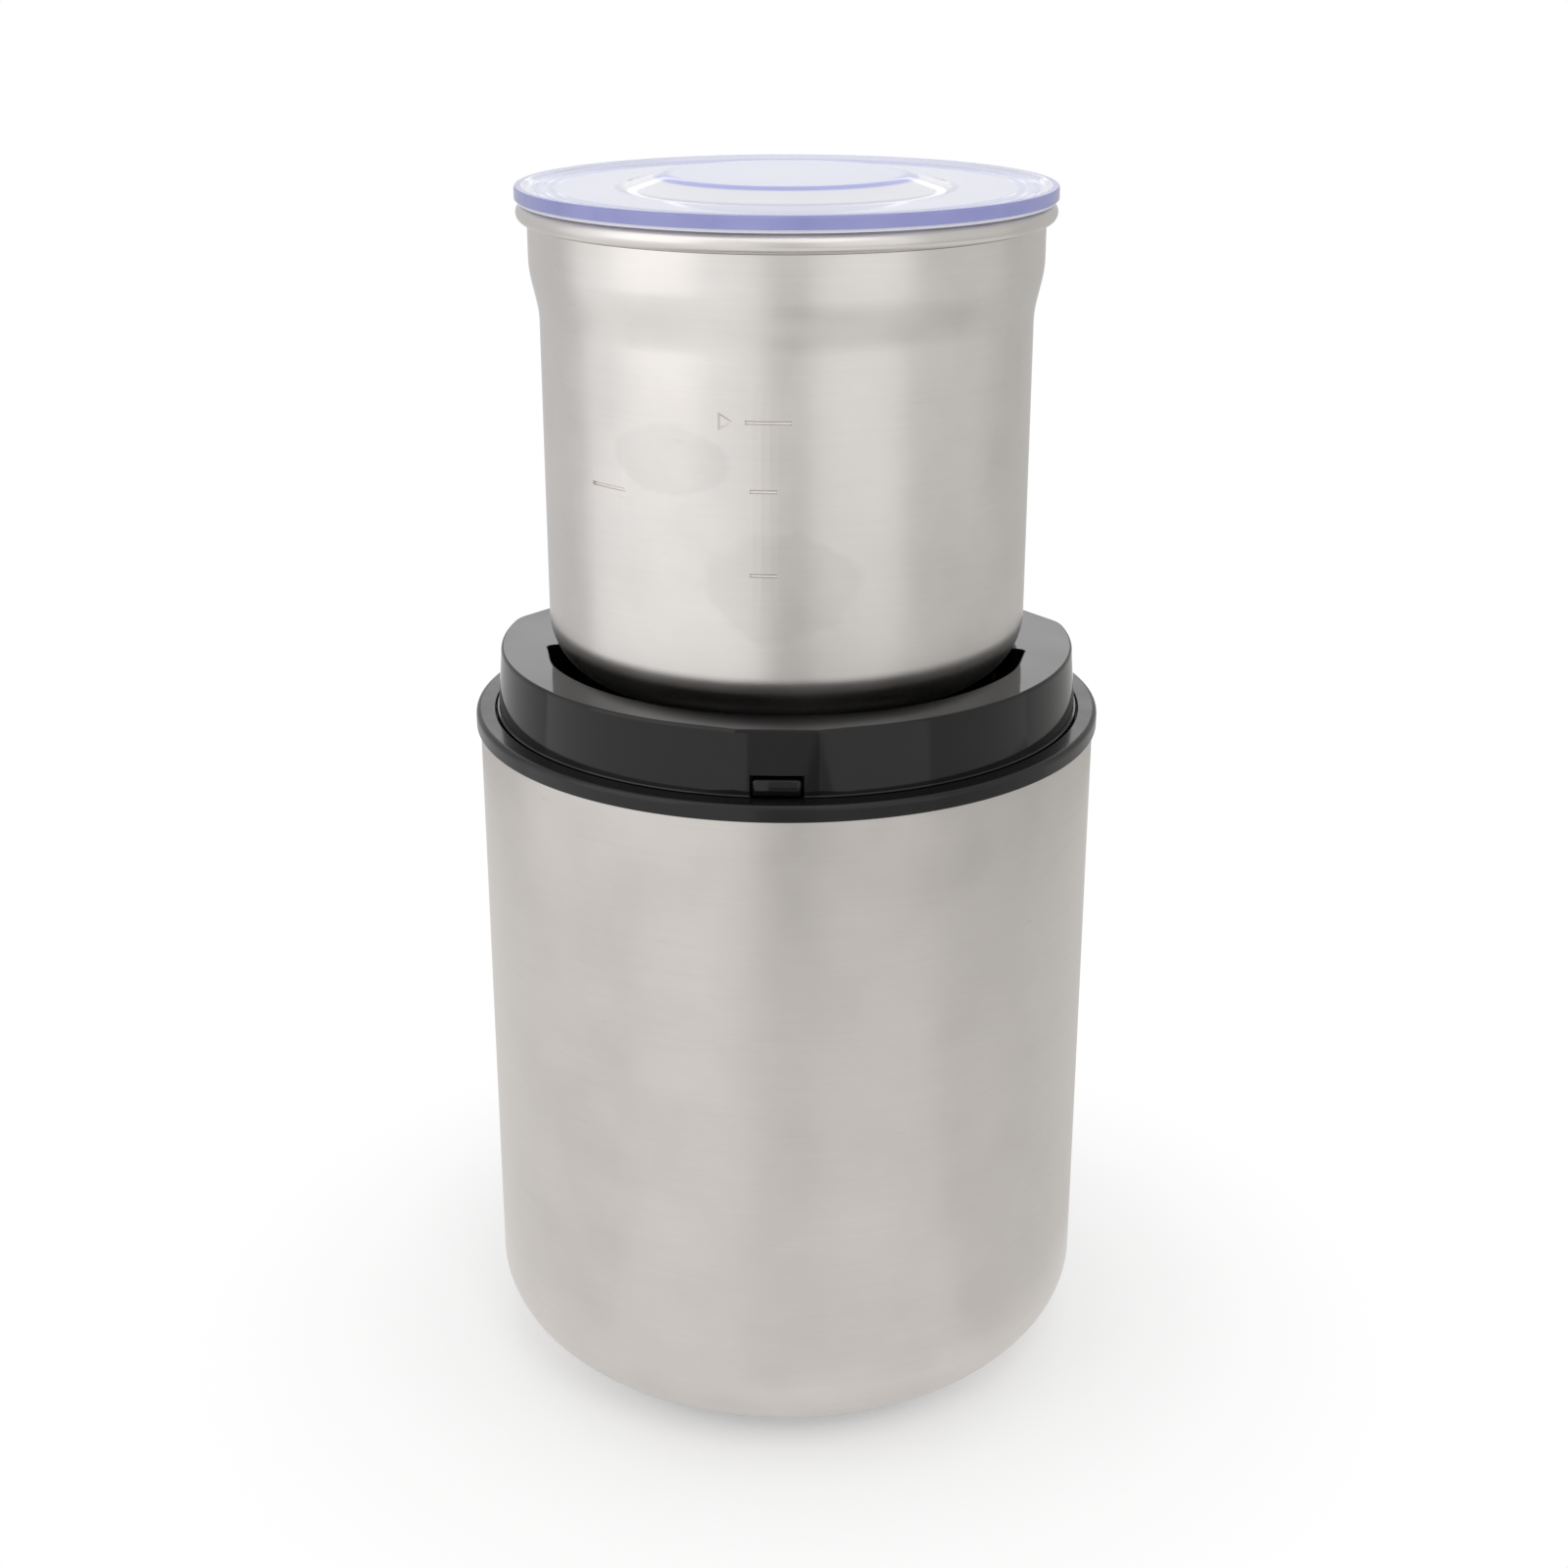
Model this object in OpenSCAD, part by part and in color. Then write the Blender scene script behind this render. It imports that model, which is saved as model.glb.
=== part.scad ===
// Electric spice grinder: a steel sleeve body with a black collar, a lift-out steel cup and its storage lid.
// Origin: centre of the footprint at table level. +Z is up and the front (the collar's flat nose) faces -Y.
// Lengths are millimetres, angles are degrees.

/* [Body] */
// Sheet thickness of the steel sleeve
shell_wall = 0.8; // [0.6:0.1:1]
// Height of the trim ring's top face above the table
ledge_z = 131; // [129:0.5:140]
// How far the rounded bottom draws in
round_w = 27.7; // [24:0.1:30]
// Height of the rounded bottom
round_h = 17.9; // [15:0.1:21]
// How far the bottom opening's edge lies inside the sleeve
mouth_inset = 16.3; // [14:0.1:18]
// Lowest height of the rounded bottom above the table
belly_z = 1.6; // [1.4:0.1:2.4]

/* [Base] */
// Free height under the base plate
foot_h = 2; // [1.5:0.1:2.4]
// Radius of a rubber foot
foot_r = 6; // [5:0.1:7]
// How far the feet's centres lie inside the bottom opening
foot_inset = 9; // [8.5:0.1:10]
// Height of the base plate's top face above the table
plate_top = 6; // [5.5:0.1:6.5]
// Width of a cooling slot
vent_w = 2.2; // [1.5:0.1:3]
// Number of cooling slots
vent_count = 20; // [12:1:24]
// How far the base screws lie inside the bottom opening
base_screw_inset = 6; // [5.5:0.1:6.5]
// Height of the cord inlet's axis
inlet_z = 32; // [28:0.5:60]
// Bore radius of the cord inlet
inlet_r = 3.4; // [3:0.1:3.8]

/* [Trim and collar] */
// Wall between the socket and the collar's outside
collar_wall = 7.5; // [6.5:0.1:8.5]
// How far the trim ring stands out past the sleeve
trim_over = 0.7; // [0.4:0.1:1.2]
// Height of the trim ring's visible band
trim_h = 3; // [2.5:0.1:3.5]
// Width of the trim ring's top face
trim_w = 3.5; // [3.2:0.1:3.8]
// Step from the collar's flange in to its wall
flange_step = 1.2; // [0.8:0.1:1.4]
// Height of the collar's wall above the trim ring
collar_h = 11.5; // [10:0.1:12]
// Half width of the flat nose in front
nose_half = 8.3; // [7:0.1:10]
// How far the nose stands out past the round wall
nose_out = 0.3; // [0.1:0.1:0.5]
// How far the two rear chords cut into the round wall
chord_cut = 5; // [4:0.1:5.5]
// Direction of the rear chords' normals behind the sides
chord_angle = 37.5; // [35:0.5:40]
// Corner radius of the rear chords
chord_corner_r = 7; // [6:0.1:8]
// Depth of the socket floor below the trim ring's top
well_depth = 11; // [10:0.1:13]
// Radial gap between cup and socket in front
socket_gap = 1.5; // [1.2:0.1:2]
// Gap between the socket's rear part and the cup's rounded bottom
tuck_gap = 0.4; // [0.3:0.05:0.8]
// Angle in front of the sides where the socket widens
jog_angle = 13; // [10:0.5:16]

/* [Cup] */
// Outer radius of the cup's straight wall
cup_r = 43; // [42.5:0.1:43.4]
// Sheet thickness of the cup
cup_wall = 0.8; // [0.6:0.1:1]
// Height of the cup's underside above the trim ring's top
cup_lift = 7; // [6:0.1:8]
// Outer radius of the cup's bottom edge
cup_round_r = 11.5; // [11:0.1:12.5]
// Height of the cup from its underside to its mouth
cup_h = 83; // [80:0.5:95]
// Radius gained by the flared top
flare_w = 1.6; // [1:0.1:1.8]
// Distance from the mouth down to the foot of the flare
flare_low = 20; // [18:0.5:24]
// Distance from the mouth down to the top of the flare
flare_high = 9.5; // [8:0.5:12]
// Radius of the rolled bead's section
bead_r = 1.6; // [1.4:0.1:1.8]
// Gap between the cup base and the socket's rear part
cup_base_gap = 2.5; // [2:0.1:3]
// How far a lug stands out of the cup base
lug_out = 4.8; // [4:0.1:5]
// Width of a lug
lug_w = 6; // [5:0.1:7]

/* [Lid] */
// Height of the lid's rim band
lid_rim_h = 2.75; // [2.5:0.05:3]
// Width of the lid's raised rim
lid_rim_w = 1.4; // [1.2:0.1:1.8]
// Depth of the lid's face below its rim
lid_dip = 0.65; // [0.5:0.05:0.8]
// Thickness of the lid's face
lid_wall = 1.6; // [1.2:0.1:1.8]
// Depth of the lid's plug below the cup's mouth
lid_plug = 3.5; // [3:0.1:5]
// Foot radius of the raised pad
pad_foot_r = 28; // [26:0.5:30]
// Top radius of the raised pad
pad_top_r = 21; // [19:0.5:23]
// Height of the raised pad
pad_h = 2.2; // [1.5:0.1:3]

/* [Blade] */
// Radius of the blade's spindle
spindle_r = 4; // [3.5:0.1:4.4]
// Length of a blade arm from the axis to its tip
blade_r = 30; // [26:0.5:32]
// Width of the blade at its root
blade_w = 9; // [8:0.5:10]
// Thickness of the blade
blade_t = 1.6; // [1.2:0.1:2]
// Angle of the raised blade tips
blade_lift = 26; // [15:1:30]

/* [Motor] */
// Motor shaft radius
shaft_r = 4; // [3.5:0.1:4.2]
// Rotor core radius
rotor_r = 15; // [14:0.1:15.2]
// Air gap between rotor and poles
air_gap = 0.5; // [0.4:0.1:0.8]
// Height of the laminated stack
stack_h = 28; // [24:0.5:30]
// Length of the stator along X
stator_x = 60; // [58:0.5:62]
// Length of the stator along Y
stator_y = 50; // [49:0.5:51]
// Commutator radius
commutator_r = 10; // [9:0.1:10.5]
// Cooling fan radius
fan_r = 27; // [24:0.5:28]
// Number of fan blades
fan_count = 9; // [7:1:13]

/* [Interlock] */
// Width of the interlock tab
tab_w = 8.6; // [8:0.1:9.4]
// Height of the interlock tab
tab_h = 3.3; // [3:0.1:3.8]
// Inward travel of the interlock tab
tab_travel = 1.8; // [1.2:0.1:1.8]

/* [Clearances] */
// Gap between a piece and the seat it rests on when it can be lifted off
seat_gap = 0.2; // [0.1:0.05:0.25]
// Gap between fixed pieces that are assembled side by side
assembly_gap = 0.2; // [0.1:0.05:0.25]
// Radial clearance of a shaft in its bush
running_gap = 0.03; // [0.02:0.01:0.08]
// Gap around sliding and keyed pieces
slide_gap = 0.3; // [0.25:0.05:0.35]

/* [Hidden] */

$fn = 96;
over = 1;                 // how far a cut runs past the face that it opens
arc_steps = 14;           // straight pieces in a rounded sheet-metal edge

// socket, collar and trim ring, from the cup outwards
bowl_z = ledge_z + cup_lift;
cup_flat_r = cup_r - cup_round_r;
collar_top = ledge_z + collar_h;
tuck_h = max(0, min(cup_round_r, collar_top - bowl_z));   // height of the cup's rounded edge in the socket
socket_r = cup_r + socket_gap;
socket_rear_r = cup_flat_r + sqrt(pow(cup_round_r, 2) - pow(cup_round_r - tuck_h, 2)) + tuck_gap;
collar_r = socket_r + collar_wall;
chord_d = collar_r - chord_cut;
flange_r = collar_r + flange_step;
flange_top = ledge_z + 0.3;
trim_in_r = flange_r + slide_gap;
trim_r = trim_in_r + trim_w;
shell_top = ledge_z - trim_h;

// sleeve
body_r = trim_r - trim_over;
shell_in_r = body_r - shell_wall;
mouth_r = body_r - mouth_inset;
round_in_r = body_r - round_w;                       // where the rounded bottom would meet the table plane
round_z = belly_z + round_h;
mouth_turn = acos((mouth_r - round_in_r) / round_w);
mouth_z = round_z - round_h * sin(mouth_turn);       // lowest edge of the sleeve
grommet_neck_r = inlet_r + 1.6;
grommet_flange_r = inlet_r + 3.2;
grommet_lip = 2.5;                                   // inner flange of the grommet

// trim shelf, socket floor and nose
shelf_w = 3.5;                                       // trim shelf that carries the collar's flange
shelf_h = 3;
shelf_in_r = trim_in_r - shelf_w;
collar_low_r = shelf_in_r - 2 * assembly_gap;
well_floor = ledge_z - well_depth;
floor_t = 3;
floor_under = well_floor - floor_t;
collar_low = floor_under - 3;                        // lowest edge of the collar's skirt
nose_y = collar_r + nose_out;
nose_corner_r = norm([nose_half, nose_y]);
nose_corner_a = atan(nose_half / nose_y);
nose_tangent_a = nose_corner_a + acos(collar_r / nose_corner_r);
corner_turn = acos((chord_d - chord_corner_r) / (collar_r - chord_corner_r));

// fasteners
screw_r = 1.5;
screw_head_r = 2.9;
screw_head_h = 2.2;
screw_fit = 0.05;                                    // gap around a screw in its own hole
bolt_r = 2;
bolt_head_r = 3.6;
bolt_head_h = 2.5;
small_screw_r = 1;
small_head_r = 1.9;
small_head_h = 1.6;

// base plate
foot_circle_r = mouth_r - foot_inset;
base_screw_circle_r = mouth_r - base_screw_inset;
foot_sunk = 1;                                       // depth of a foot's pocket
foot_stem_r = foot_r / 2;
screw_seat_t = 1.5;                                  // plate left under a base screw's head
plate_rim = 1;                                       // how far the plate's rim covers the sleeve's edge
vent_in_r = 13;
vent_out_r = foot_circle_r - foot_r - 1.5;

// inner frame
frame_wall = 2;
frame_r = socket_r - 1.5;
frame_in_r = frame_r - frame_wall;
frame_boss_r = 3.5;
frame_boss_h = 10;
frame_foot_t = 2.5;
frame_foot_in_r = base_screw_circle_r + 2;
frame_flange_h = 3;
frame_flange_r = collar_low_r + 1.5;
collar_screw_circle_r = (socket_r + collar_low_r) / 2;
window_half = 12;
window_h = 16;

// drive line, from the socket floor down
coupling_cup_r = 10.8;
coupling_r = coupling_cup_r - 1;
seal_r = 8;
seal_h = 4;
seal_top = floor_under - 2;
hub_r = 15;
hub_low = seal_top - seal_h;
star_h = 5.6;
star_root = shaft_r + 0.6;
star_tip = star_root + 2.4;
pocket_top = well_floor + star_h + 0.6;              // roof of the driven coupling's star pocket
star_teeth = 6;
damper_h = 3.5;
damper_r = 5;
damper_circle_r = frame_in_r - damper_r - 3;
post_h = 10.5;
post_low = floor_under - post_h;
bracket_t = 3;
upper_plate_top = post_low - damper_h;
upper_plate_low = upper_plate_top - bracket_t;
leg_up = 11;
leg_r = 4.5;
stack_top = upper_plate_low - leg_up;
stack_low = stack_top - stack_h;
leg_down = 31;
lower_plate_top = stack_low - leg_down;
lower_plate_low = lower_plate_top - bracket_t;
bush_r = 6;
bush_h = 7;
bush_hub_r = 9;
bush_hub_h = 3;                                      // how far a bush's hub stands out of its bracket
bracket_hub_r = 12;
brush_pad_x = 20;
brush_pad_half = 4;
fan_h = 9;
fan_hub_r = 7;
fan_disc_t = 1.5;
fan_blade_t = 1.6;
fan_top = lower_plate_low - 5;
fan_low = fan_top - fan_h;
window_low = floor_under - 3 - window_h;

// stator and rotor
pole_r = rotor_r + air_gap;
shoe_t = 3.2;
pole_neck_y = 18;
yoke_w = 6;
coil_t = 6;
coil_x0 = pole_r + shoe_t + 0.5;
coil_x1 = stator_x / 2 - yoke_w - 0.3;
bolt_y = stator_y / 2 - yoke_w / 2;
winding_h = 6.5;
slot_count = 12;
slot_w = 3.2;
slot_depth = 6;
commutator_h = 13;
commutator_low = lower_plate_top + 7;
brush_z = commutator_low + commutator_h / 2;
brush_x = 6;                                         // brush section: width along Y
brush_h = 5;                                         // brush section: height
brush_len = 11;
holder_wall = 1.4;
holder_x0 = commutator_r + 2;
holder_x1 = 30;
brush_gap = 0.25;                                    // between brush and commutator

// interlock and switch
tab_front = nose_y - slide_gap;
tab_low = flange_top + 0.1;
heel_t = 2;
heel_half = 3;
pocket_back = socket_r + 1;                          // wall left between pocket and socket
heel_back = pocket_back + tab_travel + 0.1;
heel_front = heel_back + heel_t;
switch_front = 43;
switch_depth = 10.6;
switch_half = 9.9;
switch_h = 6.4;
switch_top = floor_under - 6.6;
switch_low = switch_top - switch_h;
plunger_r = 1.3;
plunger_z = (switch_top + switch_low) / 2;
plunger_len = 6;
plunger_front = heel_back - 0.1;
switch_screw_x = 4.8;
switch_screw_y = 36;

// cup
bowl_floor = bowl_z + cup_wall;
bowl_top = bowl_z + cup_h;
flare_r = cup_r + flare_w;
bead_out_r = flare_r + 0.3 + bead_r;
bead_in_r = bead_out_r - 2 * bead_r;
base_low = well_floor + seat_gap;
base_web = 3;
base_wall = 3;
lug_h = 3;
cup_base_r = socket_rear_r - cup_base_gap;
lug_r = cup_base_r + lug_out;
gasket_t = 0.8;
bush_body_r = spindle_r + 2.5;
bush_flange_r = 10;
bush_flange_t = 2.2;
nut_h = 4;
nut_r = 11;
bush_low = bowl_z - base_web - nut_h - 0.5;
bush_top = bowl_floor + gasket_t + bush_flange_t;
driven_top = bush_low - 0.5;
driven_low = base_low + 0.8;
spindle_end_r = spindle_r - 1;
spindle_shoulder_r = 5.5;
shoulder_low = bush_top + 0.3;
shoulder_top = shoulder_low + 1.5;
washer_t = 1;
blade_z = shoulder_top + washer_t;
blade_nut_h = 3.5;
blade_nut_r = 5.8;
blade_hub_r = 8;
blade_bend_r = 17;                                   // where the raised tips start
blade_top = blade_z + blade_t;

// lid
lid_low = bowl_top + seat_gap / 2;
lid_r = bead_out_r + 0.15;
lid_top = lid_low + lid_rim_h;
lid_face = lid_top - lid_dip;
plug_r = bead_in_r - slide_gap - 0.1;
plug_wall = 1.4;
plug_low = bowl_top - lid_plug;

// colours
steel = [0.78, 0.77, 0.75];
black = [0.10, 0.10, 0.11];
bright = [0.85, 0.85, 0.86];
iron = [0.42, 0.43, 0.45];
copper = [0.72, 0.42, 0.22];
brass = [0.78, 0.64, 0.34];
rubber_black = [0.06, 0.06, 0.06];

// ---- helpers ----

// Round disc from z0 to z1
module disc(r, z0, z1) {
    translate([0, 0, z0]) cylinder(r = r, h = z1 - z0);
}

// Ring from z0 to z1
module ring(r_out, r_in, z0, z1) {
    difference() {
        disc(r_out, z0, z1);
        disc(r_in, z0 - over, z1 + over);
    }
}

// Copies of a child at each angle on a circle
module around(circle_r, angles) {
    for (a = angles) rotate([0, 0, a]) translate([circle_r, 0, 0]) children();
}

// Box between two corners
module span(low, high) {
    translate(low) cube(high - low);
}

// Flat region beyond a line at distance d in direction a
module beyond(a, d) {
    rotate(a) translate([d, -2 * body_r]) square([2 * body_r, 4 * body_r]);
}

// Machine screw pointing up, its head below z_seat
module screw(r, head_r, head_h, z_seat, z_tip) {
    disc(head_r, z_seat - head_h, z_seat);
    disc(r, z_seat, z_tip);
}

// Star outline of the couplings, grown by gap
module star(gap) {
    points = [for (i = [0 : 2 * star_teeth - 1])
        let (r = (i % 2 == 0 ? star_tip : star_root) + gap, a = i * 180 / star_teeth)
        [r * cos(a), r * sin(a)]];
    polygon(points);
}

// Square insulated wire, w wide, along corners that are joined parallel to the axes
module lead(route, w) {
    half = [w, w, w] / 2;
    for (i = [0 : len(route) - 2])
        let (a = route[i], b = route[i + 1])
        span([for (k = [0 : 2]) min(a[k], b[k])] - half, [for (k = [0 : 2]) max(a[k], b[k])] + half);
}

four = [45, 135, 225, 315];
cross = [0, 90, 180, 270];
pair = [0, 180];

// ---- body ----

// Points of the sleeve's rounded bottom, drawn in by inset
function belly(inset, turn) = [for (i = [0 : arc_steps])
    let (u = turn * i / arc_steps)
    [round_in_r + (round_w - inset) * cos(u), round_z - (round_h - inset) * sin(u)]];

module body_shell() color(steel) {
    inner_turn = acos((mouth_r - round_in_r) / (round_w - shell_wall));
    outer = belly(0, mouth_turn);
    inner = belly(shell_wall, inner_turn);
    difference() {
        rotate_extrude()
            polygon(concat([[body_r, shell_top]], outer,
                           [for (i = [arc_steps : -1 : 0]) inner[i]], [[shell_in_r, shell_top]]));
        translate([0, shell_in_r - over, inlet_z]) rotate([-90, 0, 0])
            cylinder(r = grommet_neck_r + 0.1, h = shell_wall + 2 * over);
    }
}

module cord_grommet() color(rubber_black) {
    back = body_r + 0.05;
    inside = sqrt(shell_in_r * shell_in_r - grommet_flange_r * grommet_flange_r) - 0.05;
    translate([0, 0, inlet_z]) rotate([-90, 0, 0]) difference() {
        union() {
            disc(grommet_flange_r, inside - grommet_lip, inside);
            disc(grommet_neck_r, inside, back);
            disc(grommet_flange_r, back, trim_r - 0.05);
        }
        disc(inlet_r, inside - grommet_lip - over, trim_r + over);
    }
}

module trim_ring() color(black) {
    skirt_r = shell_in_r - assembly_gap;
    edge = 0.8;
    rotate_extrude() polygon([
        [shelf_in_r, shell_top - shelf_h], [skirt_r, shell_top - shelf_h], [skirt_r, shell_top],
        [trim_r, shell_top], [trim_r, ledge_z - edge], [trim_r - edge, ledge_z],
        [trim_in_r, ledge_z], [trim_in_r, shell_top], [shelf_in_r, shell_top]]);
}

// Collar outline: round wall, flat nose in front, two chords with round corners at the rear
module collar_outline() {
    difference() {
        circle(r = collar_r);
        for (side = [chord_angle, 180 - chord_angle]) {
            beyond(side, chord_d);
            for (s = [-1, 1]) beyond(side + s * corner_turn / 2, collar_r * cos(corner_turn / 2));
        }
    }
    for (side = [chord_angle, 180 - chord_angle], s = [-1, 1])
        rotate(side + s * corner_turn) translate([collar_r - chord_corner_r, 0]) circle(r = chord_corner_r);
    polygon([[0, 0],
             [-collar_r * sin(nose_tangent_a), -collar_r * cos(nose_tangent_a)],
             [-nose_half, -nose_y], [nose_half, -nose_y],
             [collar_r * sin(nose_tangent_a), -collar_r * cos(nose_tangent_a)]]);
}

// Socket outline: wider in front, drawn in at the rear, with a slot for each lug
module socket_outline() {
    reach = 2 * body_r;
    circle(r = socket_rear_r);
    intersection() {
        circle(r = socket_r);
        polygon([[0, 0], [reach * cos(jog_angle), -reach * sin(jog_angle)], [reach, -reach],
                 [-reach, -reach], [-reach * cos(jog_angle), -reach * sin(jog_angle)]]);
    }
    for (m = [0, 1]) mirror([m, 0]) rotate(-jog_angle)
        translate([0, -lug_w / 2 - slide_gap]) square([lug_r + slide_gap, lug_w + 2 * slide_gap]);
}

module collar() color(black) {
    pilot_r = screw_r + screw_fit;
    difference() {
        union() {
            difference() {
                union() {
                    translate([0, 0, flange_top]) linear_extrude(collar_top - flange_top) collar_outline();
                    disc(flange_r, shell_top, flange_top);
                    disc(collar_low_r, collar_low, shell_top);
                }
                translate([0, 0, well_floor]) linear_extrude(collar_top) socket_outline();
                disc(socket_r, collar_low - over, floor_under);
            }
            disc(hub_r, hub_low, floor_under);
            around(damper_circle_r, four) disc(damper_r, post_low, floor_under);
            for (x = [-switch_screw_x, switch_screw_x])
                translate([x, -switch_screw_y, 0]) disc(2.6, switch_top, floor_under);
        }
        disc(coupling_cup_r, seal_top, well_floor + over);
        disc(seal_r, hub_low - over, seal_top + over);
        around(damper_circle_r, four) disc(bolt_r + screw_fit, post_low - over, floor_under - 2);
        around(collar_screw_circle_r, four) disc(pilot_r, collar_low - over, collar_low + 13);
        for (x = [-switch_screw_x, switch_screw_x])
            translate([x, -switch_screw_y, 0])
                disc(small_screw_r + screw_fit, switch_top - over, floor_under - 1);
        // pocket of the interlock tab, open in front, and the channel for its heel
        span([-tab_w / 2 - slide_gap, -nose_y - over, flange_top],
             [tab_w / 2 + slide_gap, -pocket_back, tab_low + tab_h + slide_gap]);
        span([-heel_half - slide_gap, -heel_front - slide_gap, collar_low - over],
             [heel_half + slide_gap, -pocket_back, flange_top + over]);
    }
}

// ---- base ----

module base_plate() color(black) {
    plug_gap = 0.3;
    difference() {
        union() {
            disc(mouth_r + plate_rim, foot_h, mouth_z - 0.1);
            disc(mouth_r - plug_gap, foot_h, plate_top);
        }
        around(foot_circle_r, four) {
            disc(foot_r + 0.1, foot_h - over, foot_h + foot_sunk);
            disc(foot_stem_r, foot_h, plate_top + over);
        }
        around(base_screw_circle_r, cross) {
            disc(screw_head_r + 0.2, foot_h - over, plate_top - screw_seat_t);
            disc(screw_r + screw_fit, foot_h, plate_top + over);
        }
        for (i = [0 : vent_count - 1]) rotate([0, 0, (i + 0.5) * 360 / vent_count])
            span([vent_in_r, -vent_w / 2, foot_h - over], [vent_out_r, vent_w / 2, plate_top + over]);
    }
}

module rubber_feet() color(rubber_black) around(foot_circle_r, four) {
    disc(foot_r, 0, foot_h + foot_sunk);
    disc(foot_stem_r - 0.1, foot_h + foot_sunk, plate_top - 0.5);
}

module base_screws() color(bright) around(base_screw_circle_r, cross)
    screw(screw_r, screw_head_r, screw_head_h - 0.3, plate_top - screw_seat_t, plate_top + frame_boss_h - 2);

module inner_frame() color([0.30, 0.31, 0.33]) {
    flange_low = collar_low - frame_flange_h;
    web_t = 2;
    depth = 3;                              // how deep a window's cutting box reaches inside the tube
    difference() {
        union() {
            ring(frame_r, frame_in_r, plate_top, collar_low);
            ring(frame_r, frame_foot_in_r, plate_top, plate_top + frame_foot_t);
            ring(frame_flange_r, frame_in_r, flange_low, collar_low);
            around(base_screw_circle_r, cross) {
                disc(frame_boss_r, plate_top, plate_top + frame_boss_h);
                span([frame_boss_r - 1, -web_t / 2, plate_top],
                     [frame_in_r + 1 - base_screw_circle_r, web_t / 2, plate_top + frame_boss_h]);
            }
        }
        around(base_screw_circle_r, cross)
            disc(screw_r + screw_fit, plate_top - over, plate_top + frame_boss_h + over);
        around(collar_screw_circle_r, four) disc(screw_r + screw_fit, flange_low - over, collar_low + over);
        // windows for the switch in front and for the leads at the rear
        span([-window_half, -frame_flange_r - over, window_low],
             [window_half, depth - frame_in_r, collar_low + over]);
        span([-window_half, frame_in_r - depth, window_low], [window_half, frame_r + over, flange_low - 2]);
    }
}

module collar_screws() color(bright) around(collar_screw_circle_r, four)
    screw(screw_r, screw_head_r, screw_head_h, collar_low - frame_flange_h, collar_low + 12);

// ---- motor ----

// Arms and hub of a motor bracket, as a flat outline
module bracket_outline(arm_r, angles) {
    circle(r = bracket_hub_r);
    for (a = angles) rotate(a) {
        translate([0, -damper_r]) square([arm_r, 2 * damper_r]);
        translate([arm_r, 0]) circle(r = damper_r);
    }
    for (a = [90, 270]) rotate(a) translate([0, -leg_r]) square([bolt_y, 2 * leg_r]);
    for (s = [-1, 1]) translate([0, s * bolt_y]) circle(r = leg_r);
}

module upper_bracket() color(iron) {
    difference() {
        union() {
            translate([0, 0, upper_plate_low]) linear_extrude(bracket_t)
                bracket_outline(damper_circle_r, four);
            disc(bush_hub_r, upper_plate_low - 1, upper_plate_top + bush_hub_h);
            for (s = [-1, 1]) translate([0, s * bolt_y, 0]) disc(leg_r, stack_top, upper_plate_low);
        }
        disc(bush_r + screw_fit, upper_plate_low, upper_plate_top + bush_hub_h + over);
        disc(shaft_r + 1, upper_plate_low - over - 1, upper_plate_low + over);
        around(damper_circle_r, four) disc(bolt_r + screw_fit, upper_plate_low - over, upper_plate_top + over);
        for (s = [-1, 1]) translate([0, s * bolt_y, 0])
            disc(bolt_r + screw_fit, stack_top - over, upper_plate_top + over);
    }
}

module lower_bracket() color(iron) {
    difference() {
        union() {
            translate([0, 0, lower_plate_low]) linear_extrude(bracket_t) bracket_outline(brush_pad_x, pair);
            disc(bush_hub_r, lower_plate_low - 2, lower_plate_top + bush_hub_h);
            for (s = [-1, 1]) translate([0, s * bolt_y, 0]) disc(leg_r, lower_plate_top, stack_low);
            around(brush_pad_x, pair)
                span([-brush_pad_half, -brush_pad_half, lower_plate_top],
                     [brush_pad_half, brush_pad_half, brush_z - brush_h / 2 - holder_wall]);
        }
        disc(bush_r + screw_fit, lower_plate_low - 2 - over, lower_plate_low - 2 + bush_h);
        disc(shaft_r + 1, lower_plate_low, lower_plate_top + bush_hub_h + over);
        for (s = [-1, 1]) translate([0, s * bolt_y, 0])
            disc(bolt_r + screw_fit, lower_plate_low - over, stack_low + over);
    }
}

module upper_bush() color(brass)
    ring(bush_r, shaft_r + running_gap, upper_plate_low + 0.05, upper_plate_low + bush_h - 1.5);

module lower_bush() color(brass)
    ring(bush_r, shaft_r + running_gap, lower_plate_low - 1.5, lower_plate_low - 2 + bush_h - 0.05);

// Stator outline: yoke with two pole necks along X and their curved shoes
module stator_outline() {
    difference() {
        union() {
            difference() {
                intersection() {
                    circle(r = norm([stator_x, stator_y]) / 2 - 2);
                    square([stator_x, stator_y], center = true);
                }
                square([stator_x - 2 * yoke_w, stator_y - 2 * yoke_w], center = true);
            }
            square([stator_x - 2, pole_neck_y], center = true);
            intersection() {
                circle(r = pole_r + shoe_t);
                square([stator_x, 1.7 * pole_r], center = true);
            }
        }
        circle(r = pole_r);
        square([1.1 * pole_r, stator_y - 2 * yoke_w], center = true);
        for (s = [-1, 1]) translate([0, s * bolt_y]) circle(r = bolt_r + screw_fit);
    }
}

module stator_core() color(iron)
    translate([0, 0, stack_low]) linear_extrude(stack_h) stator_outline();

module field_coils() color(copper) {
    neck_gap = 0.3;
    for (s = [0, 1]) mirror([s, 0, 0]) difference() {
        span([coil_x0, -pole_neck_y / 2 - coil_t, stack_low - coil_t],
             [coil_x1, pole_neck_y / 2 + coil_t, stack_top + coil_t]);
        span([coil_x0 - over, -pole_neck_y / 2 - neck_gap, stack_low - neck_gap],
             [coil_x1 + over, pole_neck_y / 2 + neck_gap, stack_top + neck_gap]);
    }
}

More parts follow.
